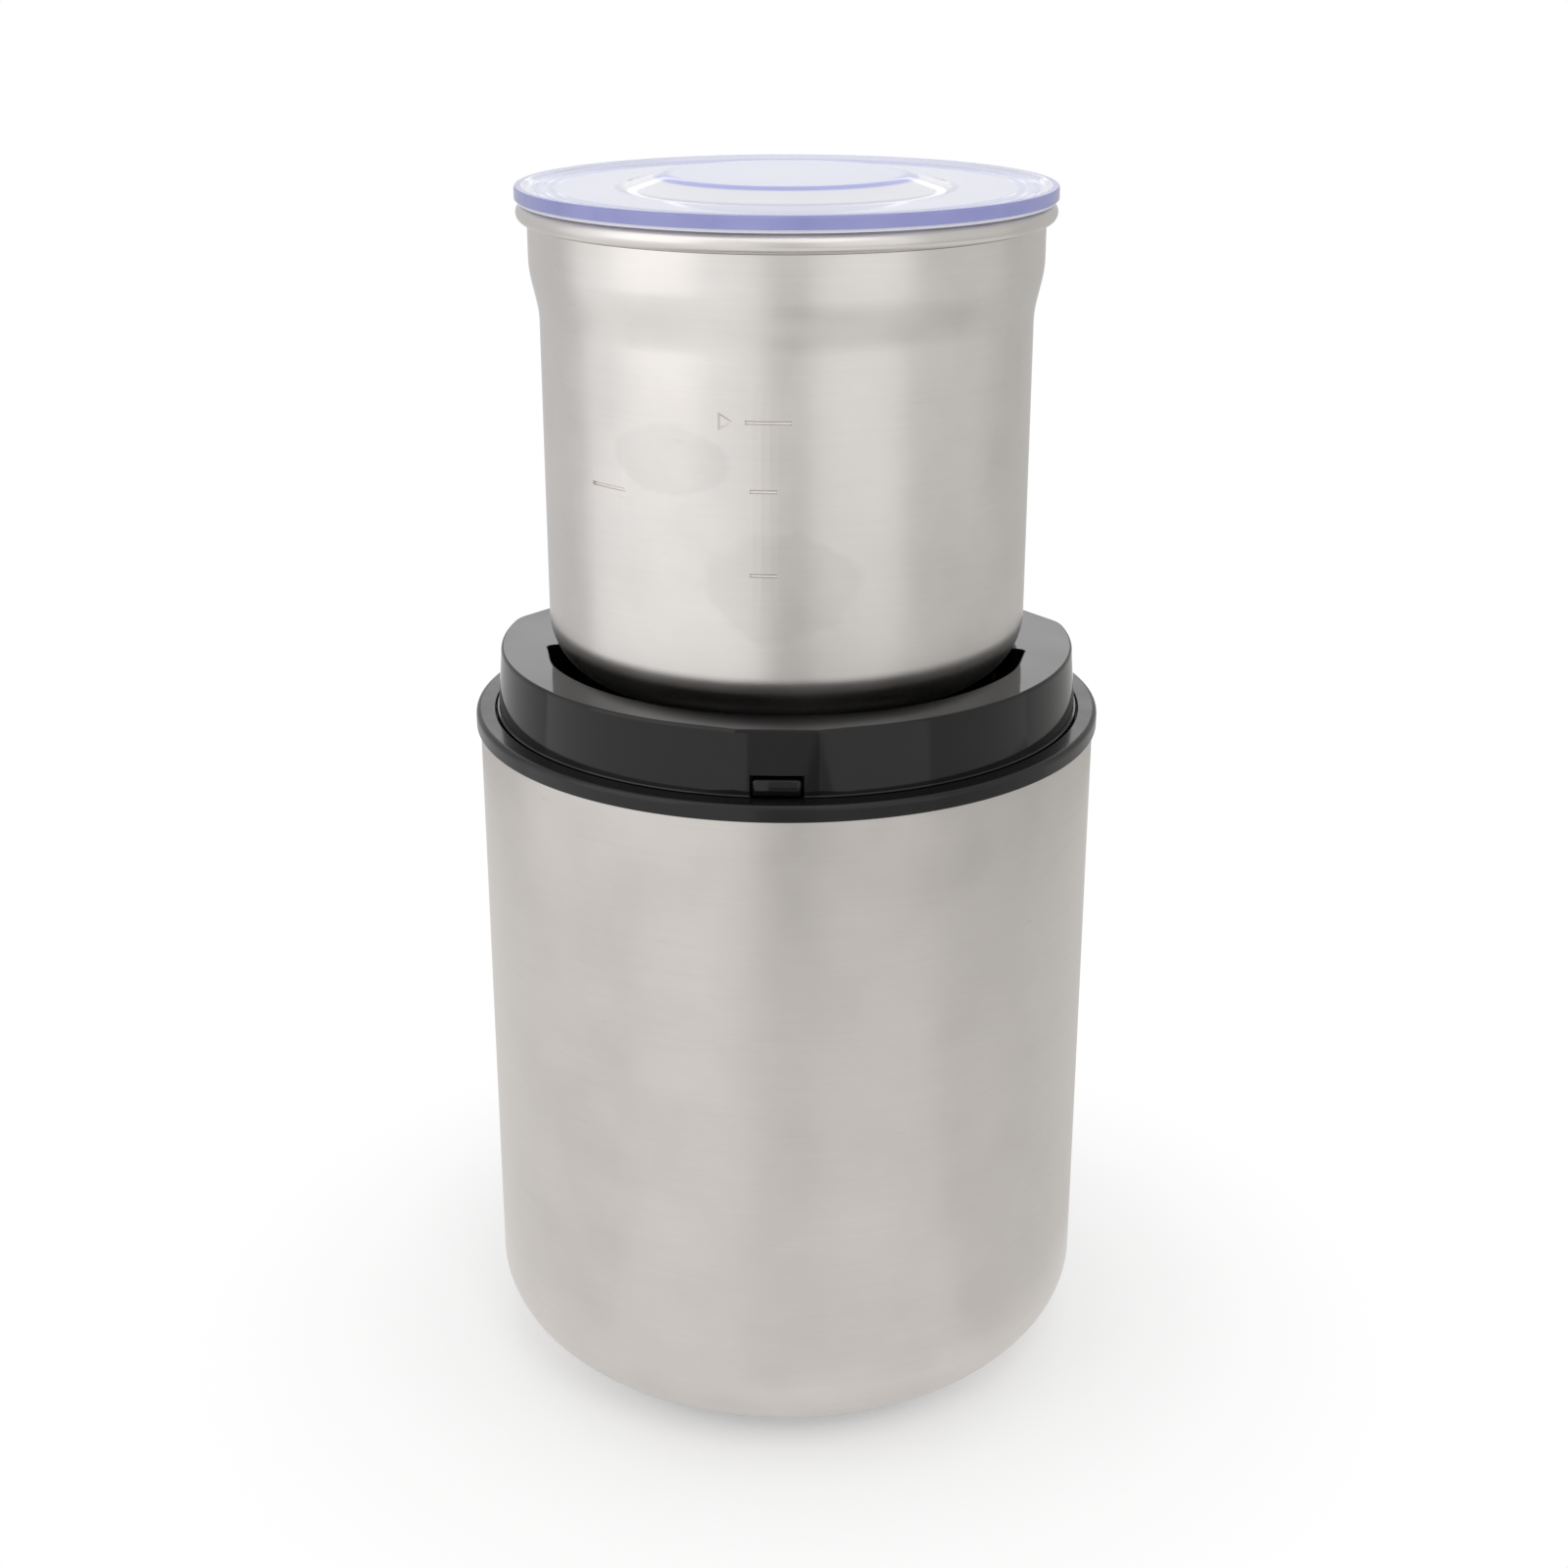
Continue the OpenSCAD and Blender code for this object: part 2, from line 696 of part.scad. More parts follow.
module motor_bolts() color(bright) for (s = [-1, 1]) translate([0, s * bolt_y, 0])
    screw(bolt_r, bolt_head_r, bolt_head_h, lower_plate_low, upper_plate_top + 1);

module motor_dampers() color(rubber_black) around(damper_circle_r, four)
    ring(damper_r, bolt_r + 0.1, upper_plate_top, post_low);

module damper_screws() color(bright) around(damper_circle_r, four)
    screw(bolt_r, bolt_head_r, bolt_head_h, upper_plate_low, post_low + 7);

module brush_holders() color(brass) around(0, pair) difference() {
    half_w = brush_x / 2 + holder_wall;
    half_h = brush_h / 2 + holder_wall;
    span([holder_x0, -half_w, brush_z - half_h], [holder_x1, half_w, brush_z + half_h]);
    span([holder_x0 - over, -brush_x / 2 - 0.1, brush_z - brush_h / 2 - 0.1],
         [holder_x1 - 1, brush_x / 2 + 0.1, brush_z + brush_h / 2 + 0.1]);
}

module carbon_brushes() color([0.16, 0.16, 0.17]) around(0, pair)
    span([commutator_r + brush_gap, -brush_x / 2, brush_z - brush_h / 2],
         [commutator_r + brush_gap + brush_len, brush_x / 2, brush_z + brush_h / 2]);

module brush_springs() color(bright) around(0, pair) {
    x0 = commutator_r + brush_gap + brush_len;
    translate([x0, 0, brush_z]) rotate([0, 90, 0]) ring(2.2, 1.5, 0.1, holder_x1 - 1.1 - x0);
}

module thermal_cutout() color([0.85, 0.82, 0.72])
    span([coil_x0, -6, stack_top + coil_t], [coil_x1 - 0.4, 6, stack_top + coil_t + 3]);

module rotor_outline() {
    difference() {
        circle(r = rotor_r);
        circle(r = shaft_r);
        for (i = [0 : slot_count - 1]) rotate(i * 360 / slot_count)
            translate([rotor_r - slot_depth, -slot_w / 2]) square([slot_depth + over, slot_w]);
    }
}

module rotor_core() color(iron)
    translate([0, 0, stack_low]) linear_extrude(stack_h) rotor_outline();

module rotor_windings() color(copper) {
    gap = 0.2;
    for (z = [[stack_low - winding_h, stack_low], [stack_top, stack_top + winding_h]])
        ring(rotor_r - 1, shaft_r + 1.5, z[0], z[1]);
    for (i = [0 : slot_count - 1]) rotate([0, 0, i * 360 / slot_count])
        span([rotor_r - slot_depth + gap, -slot_w / 2 + gap, stack_low - gap],
             [rotor_r - 1, slot_w / 2 - gap, stack_top + gap]);
}

module commutator() color(copper) {
    difference() {
        ring(commutator_r, shaft_r, commutator_low, commutator_low + commutator_h);
        for (i = [0 : 2 * slot_count - 1]) rotate([0, 0, (i + 0.5) * 180 / slot_count])
            span([commutator_r - 1.2, -0.25, commutator_low - over],
                 [commutator_r + over, 0.25, commutator_low + commutator_h + over]);
    }
}

module cooling_fan() color([0.90, 0.90, 0.88]) {
    ring(fan_hub_r, shaft_r, fan_low, fan_top);
    ring(fan_r, fan_hub_r - 1, fan_top - fan_disc_t, fan_top);
    for (i = [0 : fan_count - 1]) rotate([0, 0, i * 360 / fan_count])
        span([fan_hub_r - 1, -fan_blade_t / 2, fan_low],
             [fan_r - 1, fan_blade_t / 2, fan_top - fan_disc_t / 2]);
}

module motor_shaft() color(bright) disc(shaft_r, fan_low - 1, well_floor + star_h - 3);

module drive_coupling() color([0.20, 0.20, 0.22]) difference() {
    union() {
        disc(coupling_r, seal_top + 0.3, well_floor);
        translate([0, 0, well_floor - over]) linear_extrude(star_h + over) star(0);
    }
    disc(shaft_r, seal_top - over, well_floor + star_h - 2.5);
}

module shaft_seal() color(rubber_black)
    ring(seal_r - screw_fit, shaft_r + 2 * running_gap, hub_low, seal_top - 0.05);

terminal_half = 8;
terminal_depth = 8;
terminal_h = 10;
terminal_top = plate_top + 54;

module terminal_block() color([0.92, 0.90, 0.82])
    span([-terminal_half, frame_r + 0.1, terminal_top - terminal_h],
         [terminal_half, frame_r + terminal_depth, terminal_top]);

// Wires from the terminal block over the frame to the switch and the coil, and from the switch to the coil
module leads() color([0.70, 0.12, 0.10]) {
    wire_w = 2;
    tail = 6;                                 // distance of the wire ends from the middle plane
    side = bracket_hub_r + 3;                 // run past the bracket's hub
    rear = frame_r + terminal_depth / 2;      // run up the outside of the frame
    rear_turn = frame_in_r - 11;
    top = window_low + 8;                     // run across, over the motor bracket
    switch_rear = -switch_front + switch_depth + wire_w / 2;
    front_turn = switch_rear + 5.4;
    block = terminal_top + wire_w / 2;
    coil = [-coil_x0 - 2.3, 4, stack_top + coil_t + wire_w / 2];
    lead([[tail, rear, block], [tail, rear, top], [tail, rear_turn, top], [side, rear_turn, top],
          [side, front_turn, top], [tail, front_turn, top], [tail, switch_rear, top]], wire_w);
    lead([[-tail, rear, block], [-tail, rear, top], [-tail, rear_turn, top], [-side, rear_turn, top],
          [-side, coil[1], top], [coil[0], coil[1], top], coil], wire_w);
    lead([[-tail, switch_rear, top], [-tail, front_turn, top], [-side, front_turn, top],
          [-side, -coil[1], top], [coil[0], -coil[1], top], [coil[0], -coil[1], coil[2]]], wire_w);
}

// ---- interlock ----

module interlock_tab() color(black) {
    top = tab_low + tab_h;
    corner = 0.9;
    translate([0, -heel_back, 0]) rotate([90, 0, 0]) linear_extrude(tab_front - heel_back)
        polygon([[-tab_w / 2, tab_low], [tab_w / 2, tab_low], [tab_w / 2, top - corner],
                 [tab_w / 2 - corner, top], [-tab_w / 2 + corner, top], [-tab_w / 2, top - corner]]);
    span([-heel_half, -heel_front, plunger_z - 3], [heel_half, -heel_back, top - corner]);
}

module switch_body() color([0.12, 0.12, 0.14]) {
    difference() {
        span([-switch_half, -switch_front, switch_low],
             [switch_half, -switch_front + switch_depth, switch_top]);
        for (x = [-switch_screw_x, switch_screw_x]) translate([x, -switch_screw_y, 0])
            disc(small_screw_r + screw_fit, switch_low - over, switch_top + over);
        translate([0, -switch_front - over, plunger_z]) rotate([-90, 0, 0])
            cylinder(r = plunger_r + screw_fit, h = 7 + over);
    }
}

module switch_screws() color(bright) for (x = [-switch_screw_x, switch_screw_x])
    translate([x, -switch_screw_y, 0])
        screw(small_screw_r, small_head_r, small_head_h, switch_low, switch_top + 4.5);

module switch_plunger() color([0.75, 0.15, 0.12])
    translate([0, -plunger_front, plunger_z]) rotate([-90, 0, 0]) cylinder(r = plunger_r, h = plunger_len);

// ---- cup ----

// Rounded bottom edge of the cup, drawn in by inset
function cup_round(inset) = [for (i = [0 : arc_steps])
    let (u = 90 * i / arc_steps)
    [cup_flat_r + (cup_round_r - inset) * sin(u), bowl_z + cup_round_r - (cup_round_r - inset) * cos(u)]];

// Smooth flare of the cup's top, drawn in by inset
function cup_flare(inset) = [for (i = [0 : 8])
    let (t = i / 8)
    [cup_r - inset + flare_w * t * t * (3 - 2 * t), bowl_top - flare_low + (flare_low - flare_high) * t]];

module cup_bowl() color(steel) {
    outer = concat(cup_round(0), cup_flare(0));
    inner = concat(cup_round(cup_wall), cup_flare(cup_wall));
    last = len(inner) - 1;
    bead_z = bowl_top - bead_r;
    rotate_extrude() polygon(concat([[bush_body_r + 0.1, bowl_z]], outer, [[flare_r, bead_z]],
        [[flare_r - cup_wall, bead_z]], [for (i = [last : -1 : 0]) inner[i]],
        [[bush_body_r + 0.1, bowl_floor]]));
    rotate_extrude() translate([bead_out_r - bead_r, bead_z]) circle(r = bead_r, $fn = 48);
}

module cup_base() color(black) {
    difference() {
        union() {
            disc(cup_base_r, base_low, bowl_z);
            for (m = [0, 1]) mirror([m, 0, 0]) rotate([0, 0, -jog_angle])
                span([cup_base_r - over, -lug_w / 2, base_low + 2], [lug_r, lug_w / 2, base_low + 2 + lug_h]);
        }
        disc(cup_base_r - base_wall, base_low - over, bowl_z - base_web);
        disc(bush_body_r + 0.1, base_low, bowl_z + over);
        // the top edge is cut back under the bowl's round edge
        ring(cup_base_r + over, cup_flat_r, bowl_z - 0.8, bowl_z + over);
    }
}

module spindle_bush() color(brass) difference() {
    union() {
        disc(bush_body_r, bush_low, bowl_floor + gasket_t);
        disc(bush_flange_r, bowl_floor + gasket_t, bush_top);
    }
    disc(spindle_r + running_gap, bush_low - over, bush_top + over);
}

module bush_nut() color(bright) difference() {
    translate([0, 0, bowl_z - base_web - nut_h]) cylinder(r = nut_r, h = nut_h, $fn = 6);
    disc(bush_body_r + screw_fit, bush_low - over, bowl_z);
}

module bush_gasket() color([0.75, 0.30, 0.25])
    ring(bush_flange_r, bush_body_r + screw_fit, bowl_floor, bowl_floor + gasket_t);

module blade_spindle() color(bright) {
    disc(spindle_end_r, pocket_top + seat_gap, driven_top);
    disc(spindle_r, driven_top, shoulder_low);
    disc(spindle_shoulder_r, shoulder_low, shoulder_top);
    disc(spindle_end_r, shoulder_top, blade_top + blade_nut_h + 1.3);
}

module blade_washer() color(bright)
    ring(spindle_shoulder_r + 1.5, spindle_end_r + screw_fit, shoulder_top, blade_z);

// Two-armed blade: flat roots and raised, pointed tips
module grinding_blade() color(bright) {
    tip_len = (blade_r - blade_bend_r) / cos(blade_lift);
    difference() {
        union() {
            disc(blade_hub_r, blade_z, blade_top);
            around(0, pair) span([0, -blade_w / 2, blade_z], [blade_bend_r, blade_w / 2, blade_top]);
            around(blade_bend_r, pair) translate([0, 0, blade_z]) rotate([0, -blade_lift, 0])
                linear_extrude(blade_t) polygon([[0, -blade_w / 2], [tip_len * 0.7, -blade_w / 2],
                                                 [tip_len, blade_w * 0.15], [tip_len * 0.9, blade_w / 2],
                                                 [0, blade_w / 2]]);
        }
        disc(spindle_end_r + screw_fit, blade_z - over, blade_top + over);
    }
}

module blade_nut() color(bright) difference() {
    translate([0, 0, blade_top]) cylinder(r = blade_nut_r, h = blade_nut_h, $fn = 6);
    disc(spindle_end_r + screw_fit, blade_top - over, blade_top + blade_nut_h + over);
}

module driven_coupling() color([0.20, 0.20, 0.22]) difference() {
    disc(coupling_r, driven_low, driven_top);
    translate([0, 0, driven_low - over]) linear_extrude(pocket_top - driven_low + over) star(slide_gap);
    disc(spindle_end_r + screw_fit, driven_low, driven_top + over);
}

// ---- lid ----

module storage_lid() color([0.80, 0.80, 0.95, 0.6]) {
    under = lid_face - lid_wall;
    slope = pad_foot_r - pad_top_r;
    rotate_extrude() polygon([
        [0, lid_face + pad_h], [pad_top_r, lid_face + pad_h], [pad_foot_r, lid_face],
        [lid_r - lid_rim_w - lid_dip, lid_face], [lid_r - lid_rim_w, lid_top], [lid_r, lid_top],
        [lid_r, lid_low], [plug_r, lid_low], [plug_r, plug_low], [plug_r - plug_wall, plug_low],
        [plug_r - plug_wall, under], [pad_foot_r - 0.5, under],
        [pad_foot_r - 0.5 - slope, under + pad_h], [0, under + pad_h]]);
}

body_shell();
trim_ring();
collar();
base_plate();
rubber_feet();
base_screws();
inner_frame();
collar_screws();
cord_grommet();
stator_core();
field_coils();
upper_bracket();
lower_bracket();
motor_bolts();
motor_dampers();
damper_screws();
upper_bush();
lower_bush();
brush_holders();
carbon_brushes();
brush_springs();
thermal_cutout();
terminal_block();
leads();
shaft_seal();
switch_body();
switch_screws();
switch_plunger();
interlock_tab();
motor_shaft();
rotor_core();
rotor_windings();
commutator();
cooling_fan();
drive_coupling();
cup_bowl();
cup_base();
spindle_bush();
bush_nut();
bush_gasket();
blade_spindle();
blade_washer();
grinding_blade();
blade_nut();
driven_coupling();
storage_lid();
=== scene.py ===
# %% [markdown]
# # An electric spice grinder, dressed from its CAD model
# The grinder stands on a worktop: a brushed steel body with a black collar, a steel cup that lifts
# out of it, and a clear lid pressed on the cup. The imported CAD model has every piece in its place.
# This lesson gives the pieces the soft edges, pressed marks and finishes that the real ones have.

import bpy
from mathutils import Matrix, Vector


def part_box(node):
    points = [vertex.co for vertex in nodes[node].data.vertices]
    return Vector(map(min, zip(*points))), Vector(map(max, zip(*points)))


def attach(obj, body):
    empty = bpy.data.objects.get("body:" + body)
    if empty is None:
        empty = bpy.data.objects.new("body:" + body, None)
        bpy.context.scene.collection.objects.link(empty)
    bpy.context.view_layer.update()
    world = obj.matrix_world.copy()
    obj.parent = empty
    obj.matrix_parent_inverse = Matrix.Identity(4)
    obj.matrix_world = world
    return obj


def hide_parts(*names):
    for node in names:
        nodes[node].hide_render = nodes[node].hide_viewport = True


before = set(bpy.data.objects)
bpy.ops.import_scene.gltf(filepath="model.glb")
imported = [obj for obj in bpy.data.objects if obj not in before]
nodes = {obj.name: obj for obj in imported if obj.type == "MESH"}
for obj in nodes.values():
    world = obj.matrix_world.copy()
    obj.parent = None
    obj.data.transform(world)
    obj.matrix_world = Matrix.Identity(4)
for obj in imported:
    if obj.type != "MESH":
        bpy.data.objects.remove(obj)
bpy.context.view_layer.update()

# %% [markdown]
# ## Sizes
# Each size comes from the box of a CAD node where that is possible, so that the pieces stay with
# the model. The others repeat named sizes of the CAD source. All of them are in metres.

# %% Sizes
import math

import bmesh
import bpy
from mathutils import Matrix, Vector

MM = 0.001
body_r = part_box("body_shell")[1].x
shell_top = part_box("body_shell")[1].z
shell_wall = 0.8 * MM
round_w = 27.7 * MM
round_h = 17.9 * MM
round_level = 19.5 * MM
mouth_r = 40 * MM
trim_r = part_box("trim_ring")[1].x
trim_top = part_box("trim_ring")[1].z
collar_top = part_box("collar")[1].z
bowl_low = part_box("cup_bowl")[0].z
bowl_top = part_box("cup_bowl")[1].z
bead_out_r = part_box("cup_bowl")[1].x
cup_r = 43 * MM
lid_low_z = bowl_top + 0.1 * MM
lid_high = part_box("storage_lid")[1].z
lid_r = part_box("storage_lid")[1].x
print("body radius", round(body_r / MM, 2), "mm, mouth of the cup at", round(bowl_top / MM, 2), "mm")

# %% [markdown]
# ## Camera
# The photograph was taken from in front and a little above, from about 0.4 m. Its ellipses (the
# trim ring, the ledge and the two rims) gave the camera's height, tilt and lens. The collar's nose
# stands a little left of the middle there, so the camera stands a little right of the front. placed
# puts any new object in the scene.

# %% Camera
def placed(name, data):
    made = bpy.data.objects.new(name, data)
    bpy.context.collection.objects.link(made)
    return made


VIEW_TURN = math.radians(1.75)
VIEW_FROM = Vector((-0.00046, -0.41768, 0.26967))
VIEW_TILT = math.radians(69.512)
LENS = 54.54
camera = placed("camera", bpy.data.cameras.new("camera"))
camera.location = Matrix.Rotation(VIEW_TURN, 3, "Z") @ VIEW_FROM
camera.rotation_euler = (VIEW_TILT, 0, VIEW_TURN)
camera.data.sensor_width = 36
camera.data.lens = LENS
camera.data.clip_start = 0.01
bpy.context.scene.camera = camera
print("camera at", [round(c, 3) for c in camera.location])

# %% [markdown]
# ## Helpers for node trees
# Materials and Geometry Nodes are trees of nodes. One function adds a node, sets its settings and
# fills its inputs: a socket or a node is linked, and a plain value is typed in. maths adds a Math
# node. Colours are written as sRGB hex values, as a paint chart gives them, and are turned to the
# linear values of a shader.

# %% Node helper and colour helper
def add(tree, kind, inputs=None, **settings):
    node = tree.nodes.new(kind)
    for name, value in settings.items():
        setattr(node, name, value)
    for name, value in (inputs or {}).items():
        if isinstance(value, bpy.types.Node):
            value = value.outputs[0]
        if isinstance(value, bpy.types.NodeSocket):
            tree.links.new(value, node.inputs[name])
        else:
            node.inputs[name].default_value = value
    return node


def maths(tree, operation, *values):
    return add(tree, "ShaderNodeMath", dict(enumerate(values)), operation=operation)


def colour(code):
    parts = [int(code[i:i + 2], 16) / 255 for i in (0, 2, 4)]
    return (*[p / 12.92 if p < 0.04045 else ((p + 0.055) / 1.055) ** 2.4 for p in parts], 1)


print("mid grey is", round(colour("808080")[0], 3), "in linear light")

# %% [markdown]
# ## Helper for finishes
# A real surface is never quite even. Each finish therefore starts with the same three things: the
# shader with its typical values, two shades and two roughnesses that a soft noise mixes, and a fine
# bump. Blotches and grain are given in millimetres, and stretch makes the grain run one way. The
# denoiser takes a surface for matt from a roughness of about 0.27 up, and draws contour lines where
# a finish crosses that value, so both roughnesses of a finish stay on one side of it. blank makes a
# material without nodes, and shaded multiplies the colour of a finish by patterns.

# %% Finish helper
def blank(name):
    material = bpy.data.materials.new(name)
    material.use_nodes = True
    material.node_tree.nodes.clear()
    return material


def finish(name, shades, rough, blotch=20, grain=0.5, depth=0.01, stretch=(1, 1, 1), sockets=None):
    material = blank(name)
    tree = material.node_tree
    place = add(tree, "ShaderNodeTexCoord").outputs["Object"]
    wide = add(tree, "ShaderNodeTexNoise", {"Vector": place, "Scale": 1 / (blotch * MM), "Detail": 3})
    tone = add(tree, "ShaderNodeMix",
               {0: wide, 6: colour(shades[0]), 7: colour(shades[1])}, data_type="RGBA")
    gloss = add(tree, "ShaderNodeMapRange",
                {"Value": wide, "From Min": 0.25, "From Max": 0.75, "To Min": rough[0], "To Max": rough[1]},
                interpolation_type="SMOOTHSTEP")
    run = add(tree, "ShaderNodeMapping", {"Vector": place, "Scale": stretch})
    fine = add(tree, "ShaderNodeTexNoise", {"Vector": run, "Scale": 1 / (grain * MM), "Detail": 2})
    relief = add(tree, "ShaderNodeBump", {"Height": fine, "Distance": depth * MM})
    shader = add(tree, "ShaderNodeBsdfPrincipled",
                 {"Base Color": tone.outputs[2], "Roughness": gloss, "Normal": relief, **(sockets or {})})
    shader.name = "shader"
    add(tree, "ShaderNodeOutputMaterial", {"Surface": shader})
    return material


def shaded(tree, *factors):
    shader = tree.nodes["shader"]
    tone = shader.inputs["Base Color"].links[0].from_socket
    for factor in factors:
        tone = add(tree, "ShaderNodeVectorMath", {0: tone, 1: factor}, operation="MULTIPLY").outputs[0]
    tree.links.new(tone, shader.inputs["Base Color"])


print("a finish mixes two shades, two roughnesses and a grain")

# %% [markdown]
# ## Brushed stainless steel
# The sleeve and the cup are drawn from stainless sheet and brushed while they turn, so the fine
# lines run round them. Brushing gives the eye long soft highlights that run up and down. The noise
# is stretched round the axis: its relief has lines of 0.35 mm, as fine as the render can show, and
# fainter streaks of 0.6 mm change the tone. Clouds of 15 mm in tone and gloss, a few slanted scratches
# and two water marks on the cup keep the surface from looking new. A water mark is a ragged ellipse:
# its angle from the front is in degrees, its level and half sizes are in millimetres, and it shows on
# the wall opposite too. A metal keeps the default IOR.

# %% Brushed stainless steel
def brushed_steel(name, shades, rough, cloud):
    material = finish(name, shades, rough, blotch=cloud, grain=0.35, depth=0.0005,
                      stretch=(0.02, 0.02, 1), sockets={"Metallic": 1})
    tree = material.node_tree
    place = add(tree, "ShaderNodeTexCoord").outputs["Object"]
    lines = add(tree, "ShaderNodeMapping", {"Vector": place, "Scale": (0.03, 0.03, 1)})
    streak = add(tree, "ShaderNodeTexNoise", {"Vector": lines, "Scale": 1 / (0.6 * MM), "Detail": 3})
    faint = add(tree, "ShaderNodeMapRange",
                {"Value": streak, "From Min": 0.3, "From Max": 0.7, "To Min": 0.985, "To Max": 1.01})
    slanted = add(tree, "ShaderNodeMapping",
                  {"Vector": place, "Rotation": (0, math.radians(24), 0), "Scale": (0.04, 0.3, 1)})
    hair = add(tree, "ShaderNodeTexNoise", {"Vector": slanted, "Scale": 1 / (1.4 * MM), "Detail": 4})
    scratch = add(tree, "ShaderNodeMapRange",
                  {"Value": hair, "From Min": 0.70, "From Max": 0.76, "To Min": 1.0, "To Max": 0.93})
    shaded(tree, faint, scratch)
    return material


def water_mark(material, angle, level, width, height, soft, shade):
    tree = material.node_tree
    place = add(tree, "ShaderNodeTexCoord").outputs["Object"]
    a = math.radians(angle)
    side = add(tree, "ShaderNodeVectorMath", {0: place, 1: (math.cos(a), math.sin(a), 0)},
               operation="DOT_PRODUCT").outputs["Value"]
    spot = add(tree, "ShaderNodeSeparateXYZ", {0: place}).outputs["Z"]
    rise = maths(tree, "SUBTRACT", spot, level * MM)
    side = maths(tree, "DIVIDE", side, width * MM)
    rise = maths(tree, "DIVIDE", rise, height * MM)
    both = add(tree, "ShaderNodeCombineXYZ", {0: side, 1: rise})
    far = add(tree, "ShaderNodeVectorMath", {0: both}, operation="LENGTH").outputs["Value"]
    ragged = add(tree, "ShaderNodeTexNoise", {"Vector": place, "Scale": 1 / (7 * MM), "Detail": 2})
    far = maths(tree, "MULTIPLY_ADD", ragged, 0.5, far)
    stain = add(tree, "ShaderNodeMapRange", {"Value": far, "From Min": 1.25 - soft, "From Max": 1.25,
                                             "To Min": shade, "To Max": 1.0})
    shaded(tree, stain)


steel = brushed_steel("stainless_steel_brushed", ("C6C1BD", "D8D3CF"), (0.28, 0.35), 16)
cup_steel = brushed_steel("stainless_steel_satin", ("D4D0CD", "E6E2DF"), (0.28, 0.33), 14)
water_mark(cup_steel, -25, 184, 11, 6, 0.12, 0.945)
water_mark(cup_steel, 1, 163.5, 14, 9.5, 0.12, 0.94)
print("made", steel.name, "and", cup_steel.name)

# %% [markdown]
# ## Moulded plastics and rubber
# The collar and its tab are glossy ABS: nearly black, with sharp reflections that a faint orange
# peel breaks up. The trim ring, the base plate and the cup's coupling housing are satin ABS with a
# fine spark-eroded grain. Rubber is matt, with a powdery bloom. ABS has an IOR of about 1.54.

# %% Plastics and rubber
gloss_abs = finish("abs_gloss_black", ("060607", "0B0B0D"), (0.05, 0.11), blotch=14, grain=2.5,
                   depth=0.003, sockets={"IOR": 1.54, "Specular IOR Level": 0.34})
satin_abs = finish("abs_satin_black", ("0B0B0D", "121214"), (0.14, 0.24), blotch=12, grain=0.45,
                   depth=0.006, sockets={"IOR": 1.50, "Specular IOR Level": 0.4})
rubber = finish("rubber_matt_black", ("161616", "222222"), (0.70, 0.85), blotch=9, grain=0.4,
                depth=0.03, sockets={"IOR": 1.52})
silicone = finish("silicone_red_brown", ("A8493C", "B85A4A"), (0.5, 0.6), blotch=8, grain=0.5,
                  depth=0.01, sockets={"IOR": 1.43, "Subsurface Weight": 0.1, "Subsurface Scale": 0.001})
frame_plastic = finish("nylon_glass_filled_grey", ("4A4C50", "585A5F"), (0.5, 0.62), blotch=15,
                       grain=0.6, depth=0.03, stretch=(1, 1, 0.3), sockets={"IOR": 1.53})
phenolic = finish("phenolic_black", ("17171B", "212126"), (0.38, 0.5), blotch=6, grain=0.4, depth=0.02,
                  sockets={"IOR": 1.6})
plunger_red = finish("acetal_red", ("A32018", "B52A20"), (0.3, 0.4), blotch=3, grain=0.4, depth=0.005,
                     sockets={"IOR": 1.48})
wire_pvc = finish("pvc_red", ("A81E1A", "BC2C24"), (0.35, 0.5), blotch=8, grain=0.7, depth=0.01,
                  sockets={"IOR": 1.53})
cream_plastic = finish("polyamide_cream", ("E2DCC4", "EDE8D2"), (0.4, 0.5), blotch=7, grain=0.5,
                       depth=0.01, sockets={"IOR": 1.53})
fan_nylon = finish("nylon_natural_white", ("DEDDD6", "ECEBE5"), (0.35, 0.48), blotch=10, grain=0.6,
                   depth=0.01, sockets={"IOR": 1.53, "Subsurface Weight": 0.15, "Subsurface Scale": 0.002})
coupling_nylon = finish("nylon_black", ("1B1B1E", "26262A"), (0.4, 0.52), blotch=6, grain=0.4,
                        depth=0.015, sockets={"IOR": 1.53})
print("made eleven plastics and rubbers")

# %% [markdown]
# ## Metals inside
# The motor is laminated steel with a thin layer line every 0.5 mm up the stack, enamelled copper
# wire, bronze bushes that are pressed from powder and look grainy, and graphite brushes. Screws and
# shafts are zinc-plated or ground steel. The blade is ground along its length.

# %% Metals inside
laminated = finish("steel_laminated", ("5E6065", "73757A"), (0.35, 0.5), blotch=12, grain=0.5,
                   depth=0.05, stretch=(0.05, 0.05, 1), sockets={"Metallic": 1})
enamelled = finish("copper_enamelled", ("9C4F22", "B96A34"), (0.28, 0.36), blotch=5, grain=0.45,
                   depth=0.08, stretch=(0.15, 0.15, 1), sockets={"Metallic": 1, "Coat Weight": 0.5})
bronze = finish("bronze_sintered", ("A9823F", "C09A56"), (0.35, 0.5), blotch=5, grain=0.25, depth=0.03,
                sockets={"Metallic": 1})
graphite = finish("graphite", ("242427", "323236"), (0.45, 0.6), blotch=4, grain=0.3, depth=0.02)
plated = finish("steel_zinc_plated", ("C8C9CC", "DADBDD"), (0.16, 0.26), blotch=6, grain=0.4,
                depth=0.004, sockets={"Metallic": 1})
ground = finish("stainless_steel_ground", ("C4C3C2", "D6D5D3"), (0.2, 0.27), blotch=9, grain=0.2,
                depth=0.004, stretch=(0.06, 1, 1), sockets={"Metallic": 1})
print("made five metals and the graphite")

